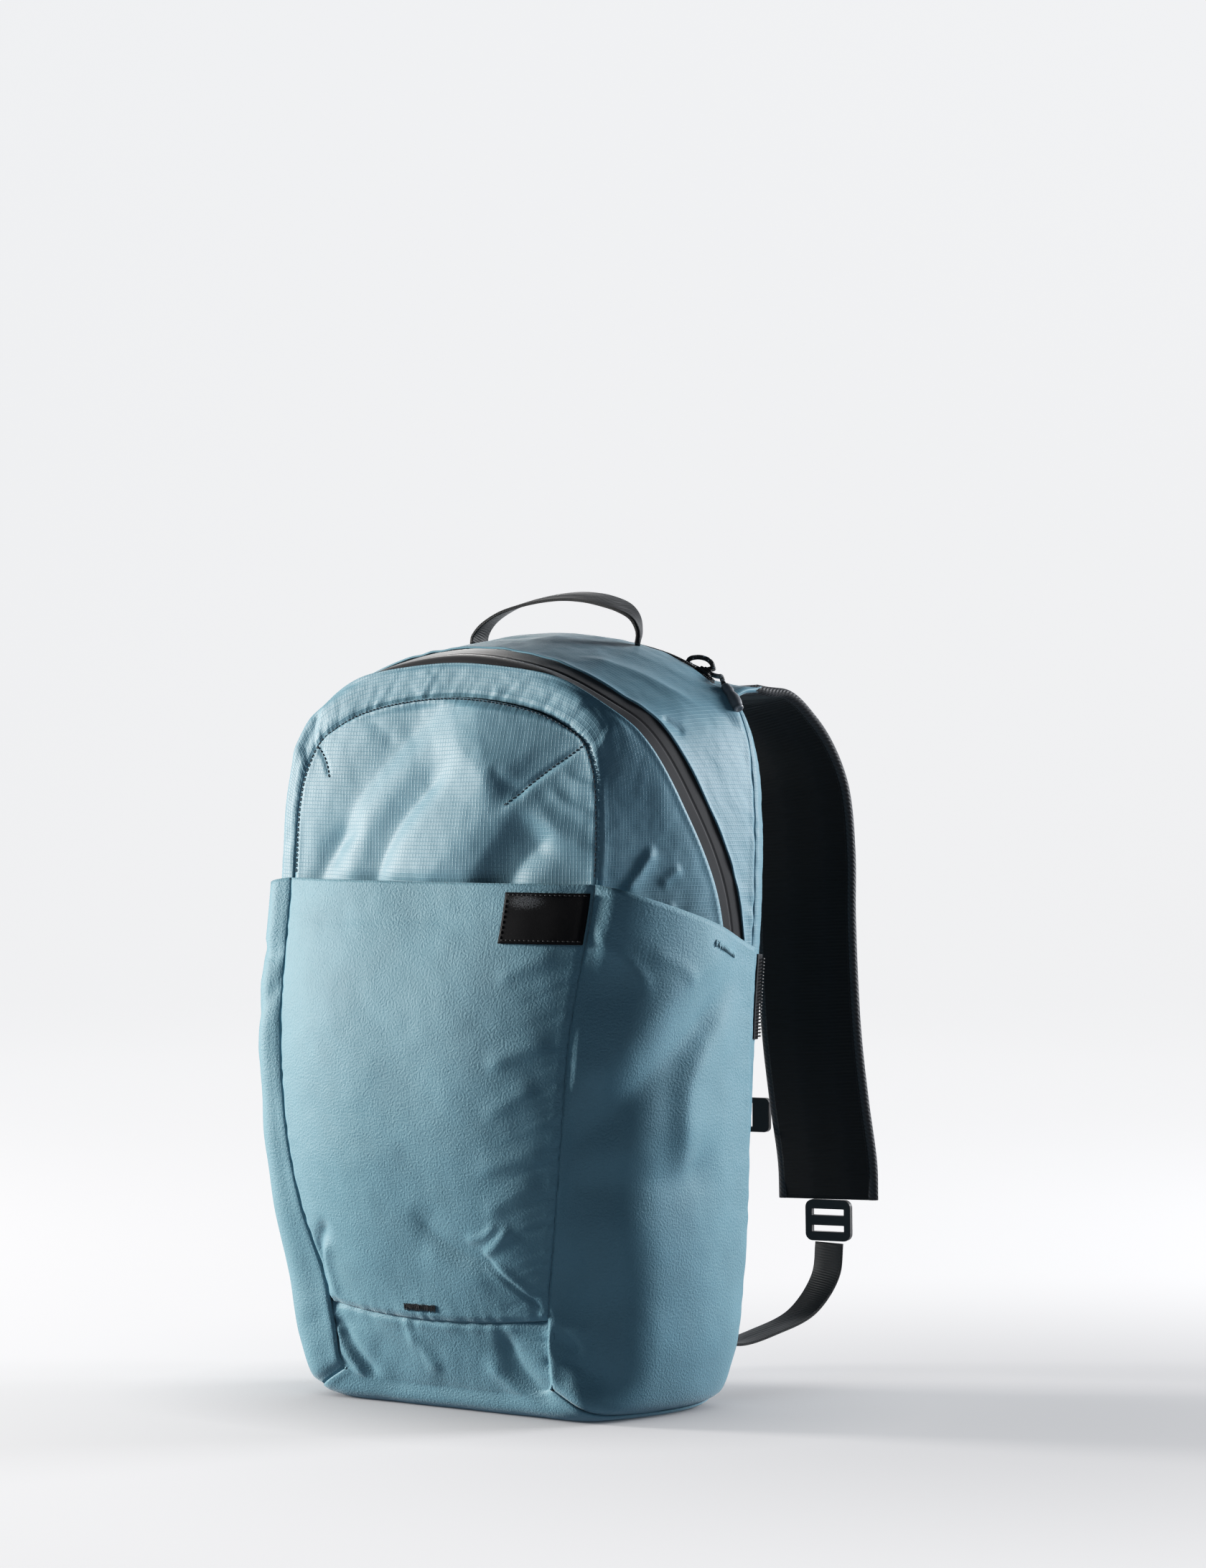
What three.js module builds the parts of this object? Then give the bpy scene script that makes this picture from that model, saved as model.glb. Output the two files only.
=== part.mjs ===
// Packable daypack standing on its base with its shoulder straps arched out behind it.
// Millimetres, +Z up, the front faces -Y and the wearer's back is towards +Y.
import * as THREE from 'three';

// Body sizes
const BODY_HEIGHT = 438;
const BODY_WIDTH = 264;
const FRONT_DEPTH = 88;
const REAR_DEPTH = 64;
const PANEL_BULGE = 17;
const BACK_BULGE = 4;
const WALL = 1.6;
const GAP = 0.55;

// Seams and openings of the body, as heights above the floor
const BASE_SEAM_HEIGHT = 57;
const BASE_SEAM_SAG = 5;
const HEM_HEIGHT = 297;
const ZIP_END_HEIGHT = 272;
const REAR_SEAM_WIDTH = 17;
const MAIN_ZIP_WIDTH = 19.5;
const ZIP_TRIM = 0.97;
const REAR_ZIP_WIDTH = 7;
const REAR_ZIP_SPREAD = 93;

// Pockets and label
const POCKET_ROOM = 12;
const SIDE_POCKET_ROOM = 8;
const SIDE_HOLLOW = 6;
const MOUTH_FLARE = 0.2;
const SIDE_POCKET_SLANT = 34;
const LABEL_WIDTH = 50;
const LABEL_HEIGHT = 28;
const LABEL_DROP = 5;
const LABEL_THICKNESS = 1;

// Shoulder straps, their yokes and lower webbings
const STRAP_WIDTH = 62;
const STRAP_THICKNESS = 6;
const STRAP_ROOT_HEIGHT = 404;
const STRAP_END_HEIGHT = 108;
const STRAP_REACH = 112;
const STRAP_ROOT_SPREAD = 0.25 * BODY_WIDTH;
const STRAP_END_SPREAD = 0.356 * BODY_WIDTH;
const STRAP_TURN = 0.26;
const YOKE_CLEARANCE = 2;
const YOKE_THICKNESS = 3;
const WEBBING_WIDTH = 20;
const WEBBING_THICKNESS = 1.8;
const LOCK_LENGTH = 24;
const LOCK_WIDTH = 28;
const LOCK_THICKNESS = 4;
const ANCHOR_HEIGHT = 40;

// Haul handle on the top ridge
const HANDLE_SPAN = 118;
const HANDLE_RISE = 22;
const HANDLE_PLACE = 0.76;
const HANDLE_LEAN = 0.22;

// Sternum strap between the shoulder straps
const STERNUM_HEIGHT = 159;
const STERNUM_SAG = 6;
const STERNUM_WEBBING_WIDTH = 15;
const SLIDER_HEIGHT = 20;
const SLIDER_WIDTH = 17;
const SLIDER_THICKNESS = 4;
const SLIDER_SLOT = 2.4;
const BUCKLE_WIDTH = 34;
const BUCKLE_HEIGHT = 22;
const BUCKLE_THICKNESS = 6;

// Rear zip slider with its cord pull, and the two short coil zips at the rear corners
const ZIP_SLIDER_LENGTH = 10;
const ZIP_SLIDER_WIDTH = 7;
const ZIP_SLIDER_THICKNESS = 4;
const ZIP_SLIDER_SPREAD = 87;
const PULL_CORD_DIAMETER = 2.8;
const PULL_END_LENGTH = 20;
const PULL_END_DIAMETER = 6;
const SIDE_ZIP_TOP = 254;
const SIDE_ZIP_BOTTOM = 204;
const SIDE_ZIP_WIDTH = 6;
const SIDE_ZIP_THICKNESS = 2.4;

// Stations round half of the body outline, from bottom centre over the side to top centre.
// frontX and wideX are shares of the half width, frontZ and wideZ of the height,
// frontY of the front depth, rearY of the rear depth, bulge of the panel bulge.
// zip is where the middle of the main zip runs between the front seam (0) and the back edge (1).
const OUTLINE = [
  { frontX: 0.00, frontZ: 0.030, wideX: 0.00, wideZ: -0.006, frontY: 0.74, rearY: 0.84, bulge: 0.10, zip: 0.80 },
  { frontX: 0.29, frontZ: 0.030, wideX: 0.38, wideZ: -0.006, frontY: 0.74, rearY: 0.84, bulge: 0.10, zip: 0.80 },
  { frontX: 0.56, frontZ: 0.040, wideX: 0.78, wideZ: 0.002, frontY: 0.77, rearY: 0.86, bulge: 0.16, zip: 0.80 },
  { frontX: 0.60, frontZ: 0.100, wideX: 0.91, wideZ: 0.070, frontY: 0.82, rearY: 0.92, bulge: 0.38, zip: 0.80 },
  { frontX: 0.63, frontZ: 0.165, wideX: 0.94, wideZ: 0.160, frontY: 0.86, rearY: 0.97, bulge: 0.60, zip: 0.80 },
  { frontX: 0.71, frontZ: 0.255, wideX: 0.955, wideZ: 0.260, frontY: 0.95, rearY: 0.99, bulge: 0.80, zip: 0.80 },
  { frontX: 0.77, frontZ: 0.360, wideX: 0.96, wideZ: 0.370, frontY: 1.00, rearY: 1.00, bulge: 0.96, zip: 0.80 },
  { frontX: 0.81, frontZ: 0.500, wideX: 0.97, wideZ: 0.510, frontY: 0.98, rearY: 1.00, bulge: 1.00, zip: 0.80 },
  { frontX: 0.845, frontZ: 0.660, wideX: 1.00, wideZ: 0.660, frontY: 0.83, rearY: 1.00, bulge: 0.84, zip: 0.69 },
  { frontX: 0.84, frontZ: 0.770, wideX: 0.99, wideZ: 0.790, frontY: 0.79, rearY: 1.00, bulge: 0.66, zip: 0.50 },
  { frontX: 0.80, frontZ: 0.826, wideX: 0.93, wideZ: 0.880, frontY: 0.76, rearY: 0.98, bulge: 0.48, zip: 0.36 },
  { frontX: 0.70, frontZ: 0.864, wideX: 0.80, wideZ: 0.926, frontY: 0.74, rearY: 0.96, bulge: 0.30, zip: 0.265 },
  { frontX: 0.43, frontZ: 0.898, wideX: 0.47, wideZ: 0.978, frontY: 0.72, rearY: 0.94, bulge: 0.14, zip: 0.20 },
  { frontX: 0.00, frontZ: 0.913, wideX: 0.00, wideZ: 1.000, frontY: 0.71, rearY: 0.93, bulge: 0.00, zip: 0.185 },
];

// Path of the body from the front seam (at 0) to the back edge (at 1). sideOut and topOut are the
// share of the way from the front outline to the widest one, at the sides and over the top;
// back is the share of the depth.
const ROUNDING = [
  { at: 0.00, sideOut: 0.00, topOut: 0.00, back: 0.00 },
  { at: 0.10, sideOut: 0.60, topOut: 0.54, back: 0.02 },
  { at: 0.22, sideOut: 0.84, topOut: 0.67, back: 0.10 },
  { at: 0.38, sideOut: 0.95, topOut: 0.80, back: 0.27 },
  { at: 0.62, sideOut: 1.00, topOut: 0.95, back: 0.58 },
  { at: 0.80, sideOut: 0.94, topOut: 0.98, back: 0.80 },
  { at: 0.91, sideOut: 0.76, topOut: 0.88, back: 0.93 },
  { at: 1.00, sideOut: 0.46, topOut: 0.60, back: 1.00 },
];

// Centre line of a shoulder strap from its root to its lower end: back is a share of the reach
// behind the back edge, down of the drop and spread of the way outwards.
const STRAP_PATH = [
  { back: 0.32, down: 0.000, spread: 0.00 },
  { back: 0.50, down: 0.015, spread: 0.14 },
  { back: 0.64, down: 0.070, spread: 0.32 },
  { back: 0.73, down: 0.135, spread: 0.48 },
  { back: 0.78, down: 0.210, spread: 0.60 },
  { back: 0.79, down: 0.320, spread: 0.70 },
  { back: 0.76, down: 0.450, spread: 0.80 },
  { back: 0.76, down: 0.660, spread: 0.93 },
  { back: 0.81, down: 0.800, spread: 0.98 },
  { back: 0.88, down: 0.930, spread: 1.00 },
  { back: 0.89, down: 1.000, spread: 1.00 },
];

// Haul handle from its left foot to its right one: along is a share of half the span,
// rise a share of the rise above the feet, twist the turn of its width in plan, in radians.
const HANDLE_PATH = [
  { along: -1.00, rise: 0.00, twist: 0.10 },
  { along: -0.93, rise: 0.30, twist: 0.08 },
  { along: -0.70, rise: 0.66, twist: 0.05 },
  { along: -0.36, rise: 0.89, twist: 0.02 },
  { along: 0.00, rise: 1.00, twist: 0.00 },
  { along: 0.24, rise: 0.99, twist: 0.02 },
  { along: 0.50, rise: 0.89, twist: 0.10 },
  { along: 0.76, rise: 0.67, twist: 0.30 },
  { along: 0.93, rise: 0.34, twist: 0.54 },
  { along: 1.00, rise: 0.00, twist: 0.60 },
];

// Points of the zip pull's cord, chosen by hand, from the slider's eye round to the moulded end.
// right, behind and above are millimetres from the slider's middle.
const PULL_ROUTE = [
  { right: 1.6, behind: 5.4, above: 1.4 },
  { right: 1.8, behind: 4.4, above: 3.8 },
  { right: -1.1, behind: 4.0, above: 6.4 },
  { right: -5.7, behind: 4.0, above: 7.7 },
  { right: -10.2, behind: 4.2, above: 7.8 },
  { right: -13.8, behind: 4.2, above: 7.1 },
  { right: -15.6, behind: 4.2, above: 5.3 },
  { right: -13.8, behind: 4.4, above: 3.6 },
  { right: -10.2, behind: 4.8, above: 1.9 },
  { right: -5.0, behind: 6.2, above: -0.4 },
  { right: 1.5, behind: 7.2, above: -2.6 },
  { right: 6.8, behind: 4.6, above: -3.2 },
  { right: 11.2, behind: 0.2, above: -3.2 },
  { right: 15.8, behind: -4.6, above: -4.7 },
  { right: 19.4, behind: -7.8, above: -7.4 },
];
const PULL_END_DROP = { right: 16.3, behind: -5.0, above: -16.4 };

const CORNER_STATION = 2;
const SIDE_STATION = 8;
const SHOULDER_STATION = 11;
const TOP_STATION = OUTLINE.length - 1;
const HALF_WIDTH = BODY_WIDTH / 2;

const MATERIALS = {
  ripstop: { color: 0x7fa9b5, roughness: 0.55, metalness: 0 },
  softshell: { color: 0x74a1ae, roughness: 0.85, metalness: 0 },
  zipTape: { color: 0x2e2e32, roughness: 0.45, metalness: 0 },
  webbing: { color: 0x1d1e21, roughness: 0.8, metalness: 0 },
  mesh: { color: 0x0d0e12, roughness: 0.95, metalness: 0 },
  plastic: { color: 0x17181b, roughness: 0.5, metalness: 0 },
  cord: { color: 0x131416, roughness: 0.8, metalness: 0 },
  label: { color: 0x08080a, roughness: 0.6, metalness: 0 },
};

const pack = new THREE.Group();

function addMesh(name, finish, geometry) {
  const mesh = new THREE.Mesh(geometry, new THREE.MeshStandardMaterial(MATERIALS[finish]));
  mesh.name = name;
  pack.add(mesh);
  return mesh;
}

// Smooth value of one table column at a station that may lie between two rows.
function column(table, key, station) {
  const last = table.length - 1;
  const place = Math.min(Math.max(station, 0), last);
  const row = Math.min(Math.floor(place), last - 1);
  const share = place - row;
  const start = table[row][key];
  const end = table[row + 1][key];
  const mirrored = table === OUTLINE && !key.endsWith('X');
  const beyond = (edge, next) => (mirrored ? next : 2 * edge - next);
  const before = row > 0 ? table[row - 1][key] : beyond(start, end);
  const after = row < last - 1 ? table[row + 2][key] : beyond(end, start);
  const bend = 2 * before - 5 * start + 4 * end - after;
  const twist = 3 * (start - end) + after - before;
  return start + 0.5 * share * (end - before + share * (bend + share * twist));
}

// Row position of a value in a table whose first column rises.
function stationOf(table, key, value, low, high) {
  let from = low;
  let to = high;
  const rising = column(table, key, to) > column(table, key, from);
  for (let step = 0; step < 40; step += 1) {
    const middle = (from + to) / 2;
    if (column(table, key, middle) < value === rising) from = middle;
    else to = middle;
  }
  return (from + to) / 2;
}

function mix(start, end, share) {
  return start + (end - start) * share;
}

function outline(station) {
  const size = (key, full) => column(OUTLINE, key, station) * full;
  return {
    frontX: size('frontX', HALF_WIDTH),
    frontZ: size('frontZ', BODY_HEIGHT),
    wideX: size('wideX', HALF_WIDTH),
    wideZ: size('wideZ', BODY_HEIGHT),
    frontY: -size('frontY', FRONT_DEPTH),
    rearY: size('rearY', REAR_DEPTH),
    bulge: size('bulge', PANEL_BULGE),
  };
}

// Point of the body's skin: station round the outline, depth share 0 to 1, side -1 or 1.
function skin(station, depth, side) {
  const ring = outline(station);
  const row = stationOf(ROUNDING, 'at', depth, 0, ROUNDING.length - 1);
  const top = Math.min(1, Math.max(0, (station - SIDE_STATION) / (SHOULDER_STATION - SIDE_STATION)));
  const out = mix(column(ROUNDING, 'sideOut', row), column(ROUNDING, 'topOut', row), top * top * (3 - 2 * top));
  const back = column(ROUNDING, 'back', row);
  return new THREE.Vector3(
    side * mix(ring.frontX, ring.wideX, out),
    mix(ring.frontY, ring.rearY, back),
    Math.max(0, mix(ring.frontZ, ring.wideZ, out)),
  );
}

// Ring position runs from -1 (left bottom centre) over the top (0) to 1 (right bottom centre).
function ringPoint(position, depth) {
  const station = TOP_STATION * (1 - Math.abs(position));
  return skin(station, depth, Math.sign(position) || 1);
}

function ringPosition(station, side) {
  return side * (1 - station / TOP_STATION);
}

function stationAtHeight(height) {
  return stationOf(OUTLINE, 'frontZ', height / BODY_HEIGHT, CORNER_STATION, TOP_STATION);
}

const HEM_STATION = stationAtHeight(HEM_HEIGHT);
const BASE_STATION = stationAtHeight(BASE_SEAM_HEIGHT);
const ZIP_END_STATION = stationAtHeight(ZIP_END_HEIGHT);

// Share of the depth that a distance along the skin takes at a place.
function depthStep(position, depth, distance) {
  const small = 0.01;
  const length = ringPoint(position, depth + small).distanceTo(ringPoint(position, depth - small));
  return (distance * 2 * small) / length;
}

// Depth share near the rear corner, where lengths along the skin are measured for the rear seam
const REAR_CORNER = 0.95;

const rearSeam = (position) => 1 - depthStep(position, REAR_CORNER, REAR_SEAM_WIDTH);

const rearZipEdge = (position) => rearSeam(position) + depthStep(position, REAR_CORNER, REAR_ZIP_WIDTH);

function zipMiddle(position) {
  const station = TOP_STATION * (1 - Math.abs(position));
  return column(OUTLINE, 'zip', station);
}

// Edge of the main zip: the tape keeps its width square to the way it runs.
function zipEdge(position, side) {
  const small = 0.004;
  const place = ringPoint(position, zipMiddle(position));
  const ahead = ringPoint(position + small, zipMiddle(position + small));
  const along = ahead.sub(place).normalize();
  const deeper = ringPoint(position, zipMiddle(position) + small).sub(place);
  const square = deeper.cross(along).length() / small;
  return zipMiddle(position) + (side * MAIN_ZIP_WIDTH) / 2 / square;
}

// Even steps between two values, with both ends.
function steps(start, end, count) {
  return Array.from({ length: count + 1 }, (_, index) => mix(start, end, index / count));
}

// Closed solid between an outer surface and the same surface moved inwards by its thickness.
// surface(u, v) gives the outer point; away is a point or direction test for the outer side.
function sheet(uValues, vValues, surface, thickness, inside) {
  const across = uValues.length;
  const outer = [];
  const inner = [];
  const nudge = 1e-3;
  const slope = (u, v, du, dv) => surface(u + du, v + dv).sub(surface(u - du, v - dv));
  for (const v of vValues) {
    for (const u of uValues) {
      const point = surface(u, v);
      const normal = slope(u, v, nudge, 0).cross(slope(u, v, 0, nudge)).normalize();
      const outwards = point.clone().sub(inside(point));
      if (normal.dot(outwards) < 0) normal.negate();
      outer.push(point);
      inner.push(point.clone().addScaledVector(normal, -thickness));
    }
  }
  const points = [...outer, ...inner];
  const shift = outer.length;
  const faces = [];
  const quad = (a, b, c, d) => faces.push([a, b, c], [a, c, d]);
  const down = vValues.length;
  for (let j = 0; j < down - 1; j += 1) {
    for (let i = 0; i < across - 1; i += 1) {
      const a = j * across + i;
      quad(a, a + 1, a + across + 1, a + across);
      quad(shift + a, shift + a + across, shift + a + across + 1, shift + a + 1);
    }
  }
  const rim = [];
  for (let i = 0; i < across - 1; i += 1) rim.push(i);
  for (let j = 0; j < down - 1; j += 1) rim.push(j * across + across - 1);
  for (let i = across - 1; i > 0; i -= 1) rim.push((down - 1) * across + i);
  for (let j = down - 1; j > 0; j -= 1) rim.push(j * across);
  rim.forEach((a, index) => {
    const b = rim[(index + 1) % rim.length];
    quad(b, a, shift + a, shift + b);
  });
  return solid(points, faces);
}

// Sweep of a closed section along frames, each a centre with its across and lift directions.
function sweep(frames, section) {
  const points = [];
  for (const frame of frames) {
    for (const [side, up] of section) {
      const wide = frame.scale === undefined ? 1 : frame.scale;
      points.push(frame.centre.clone()
        .addScaledVector(frame.across, side * wide)
        .addScaledVector(frame.lift, up));
    }
  }
  const count = section.length;
  const faces = [];
  for (let ring = 0; ring < frames.length - 1; ring += 1) {
    for (let index = 0; index < count; index += 1) {
      const a = ring * count + index;
      const b = ring * count + ((index + 1) % count);
      faces.push([a, b, b + count], [a, b + count, a + count]);
    }
  }
  const top = (frames.length - 1) * count;
  for (let index = 1; index < count - 1; index += 1) {
    faces.push([0, index + 1, index], [top, top + index, top + index + 1]);
  }
  return solid(points, faces);
}

// Geometry from points and triangles, turned so that its faces point out.
function solid(points, faces) {
  let volume = 0;
  for (const [a, b, c] of faces) {
    volume += points[a].dot(points[b].clone().cross(points[c]));
  }
  const order = volume > 0 ? faces : faces.map(([a, b, c]) => [a, c, b]);
  const geometry = new THREE.BufferGeometry();
  geometry.setAttribute('position', new THREE.Float32BufferAttribute(points.flatMap((p) => p.toArray()), 3));
  geometry.setIndex(order.flat());
  return geometry;
}

function padSection(width, thickness) {
  const half = width / 2;
  const edge = thickness / 2;
  const round = Math.min(thickness, half / 2);
  return [
    [-half, 0], [-half + round, -edge], [half - round, -edge],
    [half, 0], [half - round, edge], [-half + round, edge],
  ];
}

function flatSection(width, thickness) {
  const half = width / 2;
  const edge = thickness / 2;
  return [[-half, -edge], [half, -edge], [half, edge], [-half, edge]];
}

function roundSection(diameter, sides) {
  return Array.from({ length: sides }, (_, index) => {
    const turn = (2 * Math.PI * index) / sides;
    return [Math.cos(turn) * diameter / 2, Math.sin(turn) * diameter / 2];
  });
}

// Frames along a curve whose width lies across it, with the lift square to both.
function framesAlong(curve, count, across) {
  return steps(0, 1, count).map((share) => {
    const centre = curve.getPointAt(share);
    const along = curve.getTangentAt(share);
    const wanted = typeof across === 'function' ? across(share) : across;
    const lift = along.clone().cross(wanted).normalize();
    return { centre, across: lift.clone().cross(along).normalize(), lift };
  });
}

// Line up the middle of the body, kept away from its bottom and top, that tells inside from outside
const CORE_LOW = 0.14 * BODY_HEIGHT;
const CORE_HIGH = 0.73 * BODY_HEIGHT;
const coreLine = (point) => new THREE.Vector3(0, 0, Math.min(Math.max(point.z, CORE_LOW), CORE_HIGH));

// Sampling shared by the pieces that meet along the ring, so that their edges match
const UPPER_RING = steps(ZIP_END_STATION, TOP_STATION, 16);
const LOWER_RING = steps(CORNER_STATION, ZIP_END_STATION, 10);

function bothSides(stations) {
  const left = stations.map((station) => ringPosition(station, -1));
  const right = stations.slice(0, -1).reverse().map((station) => ringPosition(station, 1));
  return [...left, ...right];
}

// Strip of the body round the top, between two edges given as depth shares.
function ringStrip(name, finish, positions, count, fromEdge, toEdge) {
  const first = positions[0];
  const last = positions[positions.length - 1];
  const trim = (GAP / 2) / ringPoint(first, 0.5).distanceTo(ringPoint(last, 0.5));
  const places = positions.map((position, index) => {
    if (index === 0) return position + trim;
    return index === positions.length - 1 ? position - trim : position;
  });
  const surface = (position, share) => {
    const from = fromEdge(position);
    const to = toEdge(position);
    const start = from + depthStep(position, from + 0.02, GAP / 2);
    const end = to - depthStep(position, to - 0.02, GAP / 2);
    return ringPoint(position, mix(start, end, share));
  };
  return addMesh(name, finish, sheet(places, steps(0, 1, count), surface, WALL, coreLine));
}

// Panel that closes an outline: share runs from -1 (left edge) to 1 (right edge).
// Up to the hem its rows are level; above it they rise into the arch.
function closure(edge, share, station, bulge) {
  const side = Math.sign(share) || 1;
  const near = Math.abs(share);
  const row = edge(station);
  const shoulder = edge(SHOULDER_STATION);
  const start = Math.min(HEM_STATION, SHOULDER_STATION - 0.5);
  const rise = Math.max(0, (station - start) / (SHOULDER_STATION - start));
  const lift = rise * rise;
  const arch = edge(archStation(edge, near * shoulder.x));
  return new THREE.Vector3(
    side * near * row.x,
    row.y + lift * (arch.y - shoulder.y) + bulge(station) * (1 - near * near),
    row.z + lift * (arch.z - shoulder.z),
  );
}

// Station above the shoulder where an outline is as wide as asked.
function archStation(edge, width) {
  let low = SHOULDER_STATION;
  let high = TOP_STATION;
  for (let step = 0; step < 40; step += 1) {
    const middle = (low + high) / 2;
    if (edge(middle).x > width) low = middle;
    else high = middle;
  }
  return (low + high) / 2;
}

const frontEdge = (station) => skin(station, 0, 1);
const rearEdge = (station) => skin(station, 1, 1);
const frontBulge = (station) => -outline(station).bulge;
const backBulge = (station) => (BACK_BULGE * outline(station).bulge) / PANEL_BULGE;

// Columns of the front and back panels meet the ring's stations above the shoulder
const ARCH_STATIONS = UPPER_RING.filter((station) => station > SHOULDER_STATION + 0.05);

function panelShares(edge) {
  const shoulder = edge(SHOULDER_STATION).x;
  const right = ARCH_STATIONS.map((station) => edge(station).x / shoulder);
  const outwards = [1, 0.93, 0.86, ...right.filter((share) => share < 0.8 && share > 0.01)];
  return [...outwards.map((share) => -share), 0, ...outwards.slice().reverse()];
}

// A panel stops short of its seam, by more where the two walls meet at a sharper corner
const FRONT_INSET = GAP + WALL / 2;
const BACK_INSET = GAP + WALL;

// Closing panel with its edges drawn in by a distance at the sides, the top and the bottom.
function insetClosure(edge, share, station, bulge, room, bottom) {
  const point = closure(edge, share * (1 - room / edge(station).x), station, bulge);
  const top = Math.max(0, (station - SHOULDER_STATION + 0.3) / 0.3);
  const below = Math.max(0, (bottom + 0.3 - station) / 0.3);
  point.z += room * (below - top);
  return point;
}

function addFrontPanel() {
  const rows = [...steps(BASE_STATION, HEM_STATION, 9), ...steps(HEM_STATION, SHOULDER_STATION, 8).slice(1)];
  const room = (share, station) => {
    const below = Math.min(1, Math.max(0, (HEM_STATION + 0.6 - station) / 0.6));
    const above = Math.min(1, (station - BASE_STATION) / 0.8);
    return POCKET_ROOM * (1 - share ** 2) * below * below * (3 - 2 * below) * Math.max(0, above);
  };
  const surface = (share, station) => {
    const point = insetClosure(frontEdge, share, station, frontBulge, FRONT_INSET, BASE_STATION);
    point.y += room(share, station);
    point.z += seamSag(share, station);
    return point;
  };
  addMesh('front_panel', 'ripstop', sheet(panelShares(frontEdge), rows, surface, WALL, coreLine));
}

// The base seam dips towards the middle, and the rows above it follow for a while.
function seamSag(share, station) {
  const near = Math.max(0, 1 - (station - BASE_STATION) / 1.5);
  return -BASE_SEAM_SAG * (1 - share ** 2) * near;
}

function addFrontPocket() {
  const surface = (share, station) => {
    const point = insetClosure(frontEdge, share, station, frontBulge, FRONT_INSET, BASE_STATION);
    point.y -= WALL + 2 * GAP;
    point.z += seamSag(share, station);
    return point;
  };
  const rows = steps(BASE_STATION, HEM_STATION, 9);
  addMesh('front_pocket', 'softshell', sheet(panelShares(frontEdge), rows, surface, WALL, coreLine));

  const hem = frontEdge(HEM_STATION).x;
  const right = 1 - 1 / hem;
  const left = right - LABEL_WIDTH / hem;
  const labelSurface = (share, height) => {
    const point = surface(share, stationAtHeight(height));
    point.y -= LABEL_THICKNESS + 2 * GAP;
    return point;
  };
  const top = HEM_HEIGHT - LABEL_DROP;
  const heights = steps(top - LABEL_HEIGHT, top, 3);
  addMesh('label', 'label', sheet(steps(left, right, 6), heights, labelSurface, LABEL_THICKNESS, coreLine));
}

function addBackPanel() {
  const rows = steps(CORNER_STATION, SHOULDER_STATION, 11);
  const surface = (share, station) => (
    insetClosure(rearEdge, share, station, backBulge, BACK_INSET, CORNER_STATION)
  );
  addMesh('back_panel', 'ripstop', sheet(panelShares(rearEdge), rows, surface, WALL, coreLine));
}

// The base panel runs from its seam down the front, under the pack and up to the back panel.
function addBasePanel() {
  const FRONT_ROWS = -1;
  const surface = (share, row) => {
    const side = Math.sign(share) || 1;
    const near = Math.min(1, Math.abs(share));
    const clear = 1 - (GAP + WALL) / skin(CORNER_STATION, 0.5, 1).x;
    if (row >= 0) {
      const point = skin(CORNER_STATION * near * clear, Math.min(1, row), side);
      return point;
    }
    const station = mix(CORNER_STATION, BASE_STATION, -row);
    const edge = frontEdge(station);
    const corner = frontEdge(CORNER_STATION);
    const below = frontEdge(CORNER_STATION * near);
    const drop = 1 + row;
    const bulge = outline(station).bulge - outline(CORNER_STATION).bulge * drop;
    return new THREE.Vector3(
      clear * (share * edge.x + drop * (side * below.x - share * corner.x)),
      edge.y + drop * (below.y - corner.y) - bulge * (1 - near * near),
      edge.z + drop * (below.z - corner.z) + seamSag(share, BASE_STATION) * (1 - drop) + GAP * row,
    );
  };
  const rows = [...steps(FRONT_ROWS, 0, 5), ...steps(0, 1, 8).slice(1)];
  const above = (point) => new THREE.Vector3(0, 0, Math.max(point.z, CORE_LOW + BASE_SEAM_HEIGHT / 2));
  addMesh('base_panel', 'softshell', sheet(steps(-1, 1, 14), rows, surface, WALL, above));
}

const SIDE_SHARES = [0, 0.05, 0.1, 0.16, 0.23, 0.32, 0.44, 0.6, 0.74, 0.84, 0.92, 1];
const SIDE_TRIM = 1.2;

// Share of a station that a distance up the front seam takes.
function stationStep(station, distance) {
  const small = 0.05;
  return (distance * 2 * small) / frontEdge(station + small).distanceTo(frontEdge(station - small));
}

// Point of a side at a share of the way from the front seam to the rear seam.
function sidePoint(station, share, side) {
  const position = ringPosition(station, side);
  const rear = rearSeam(position);
  const clear = depthStep(position, 0.5, GAP / 2);
  return ringPoint(position, mix(clear, rear - clear, share));
}

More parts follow.
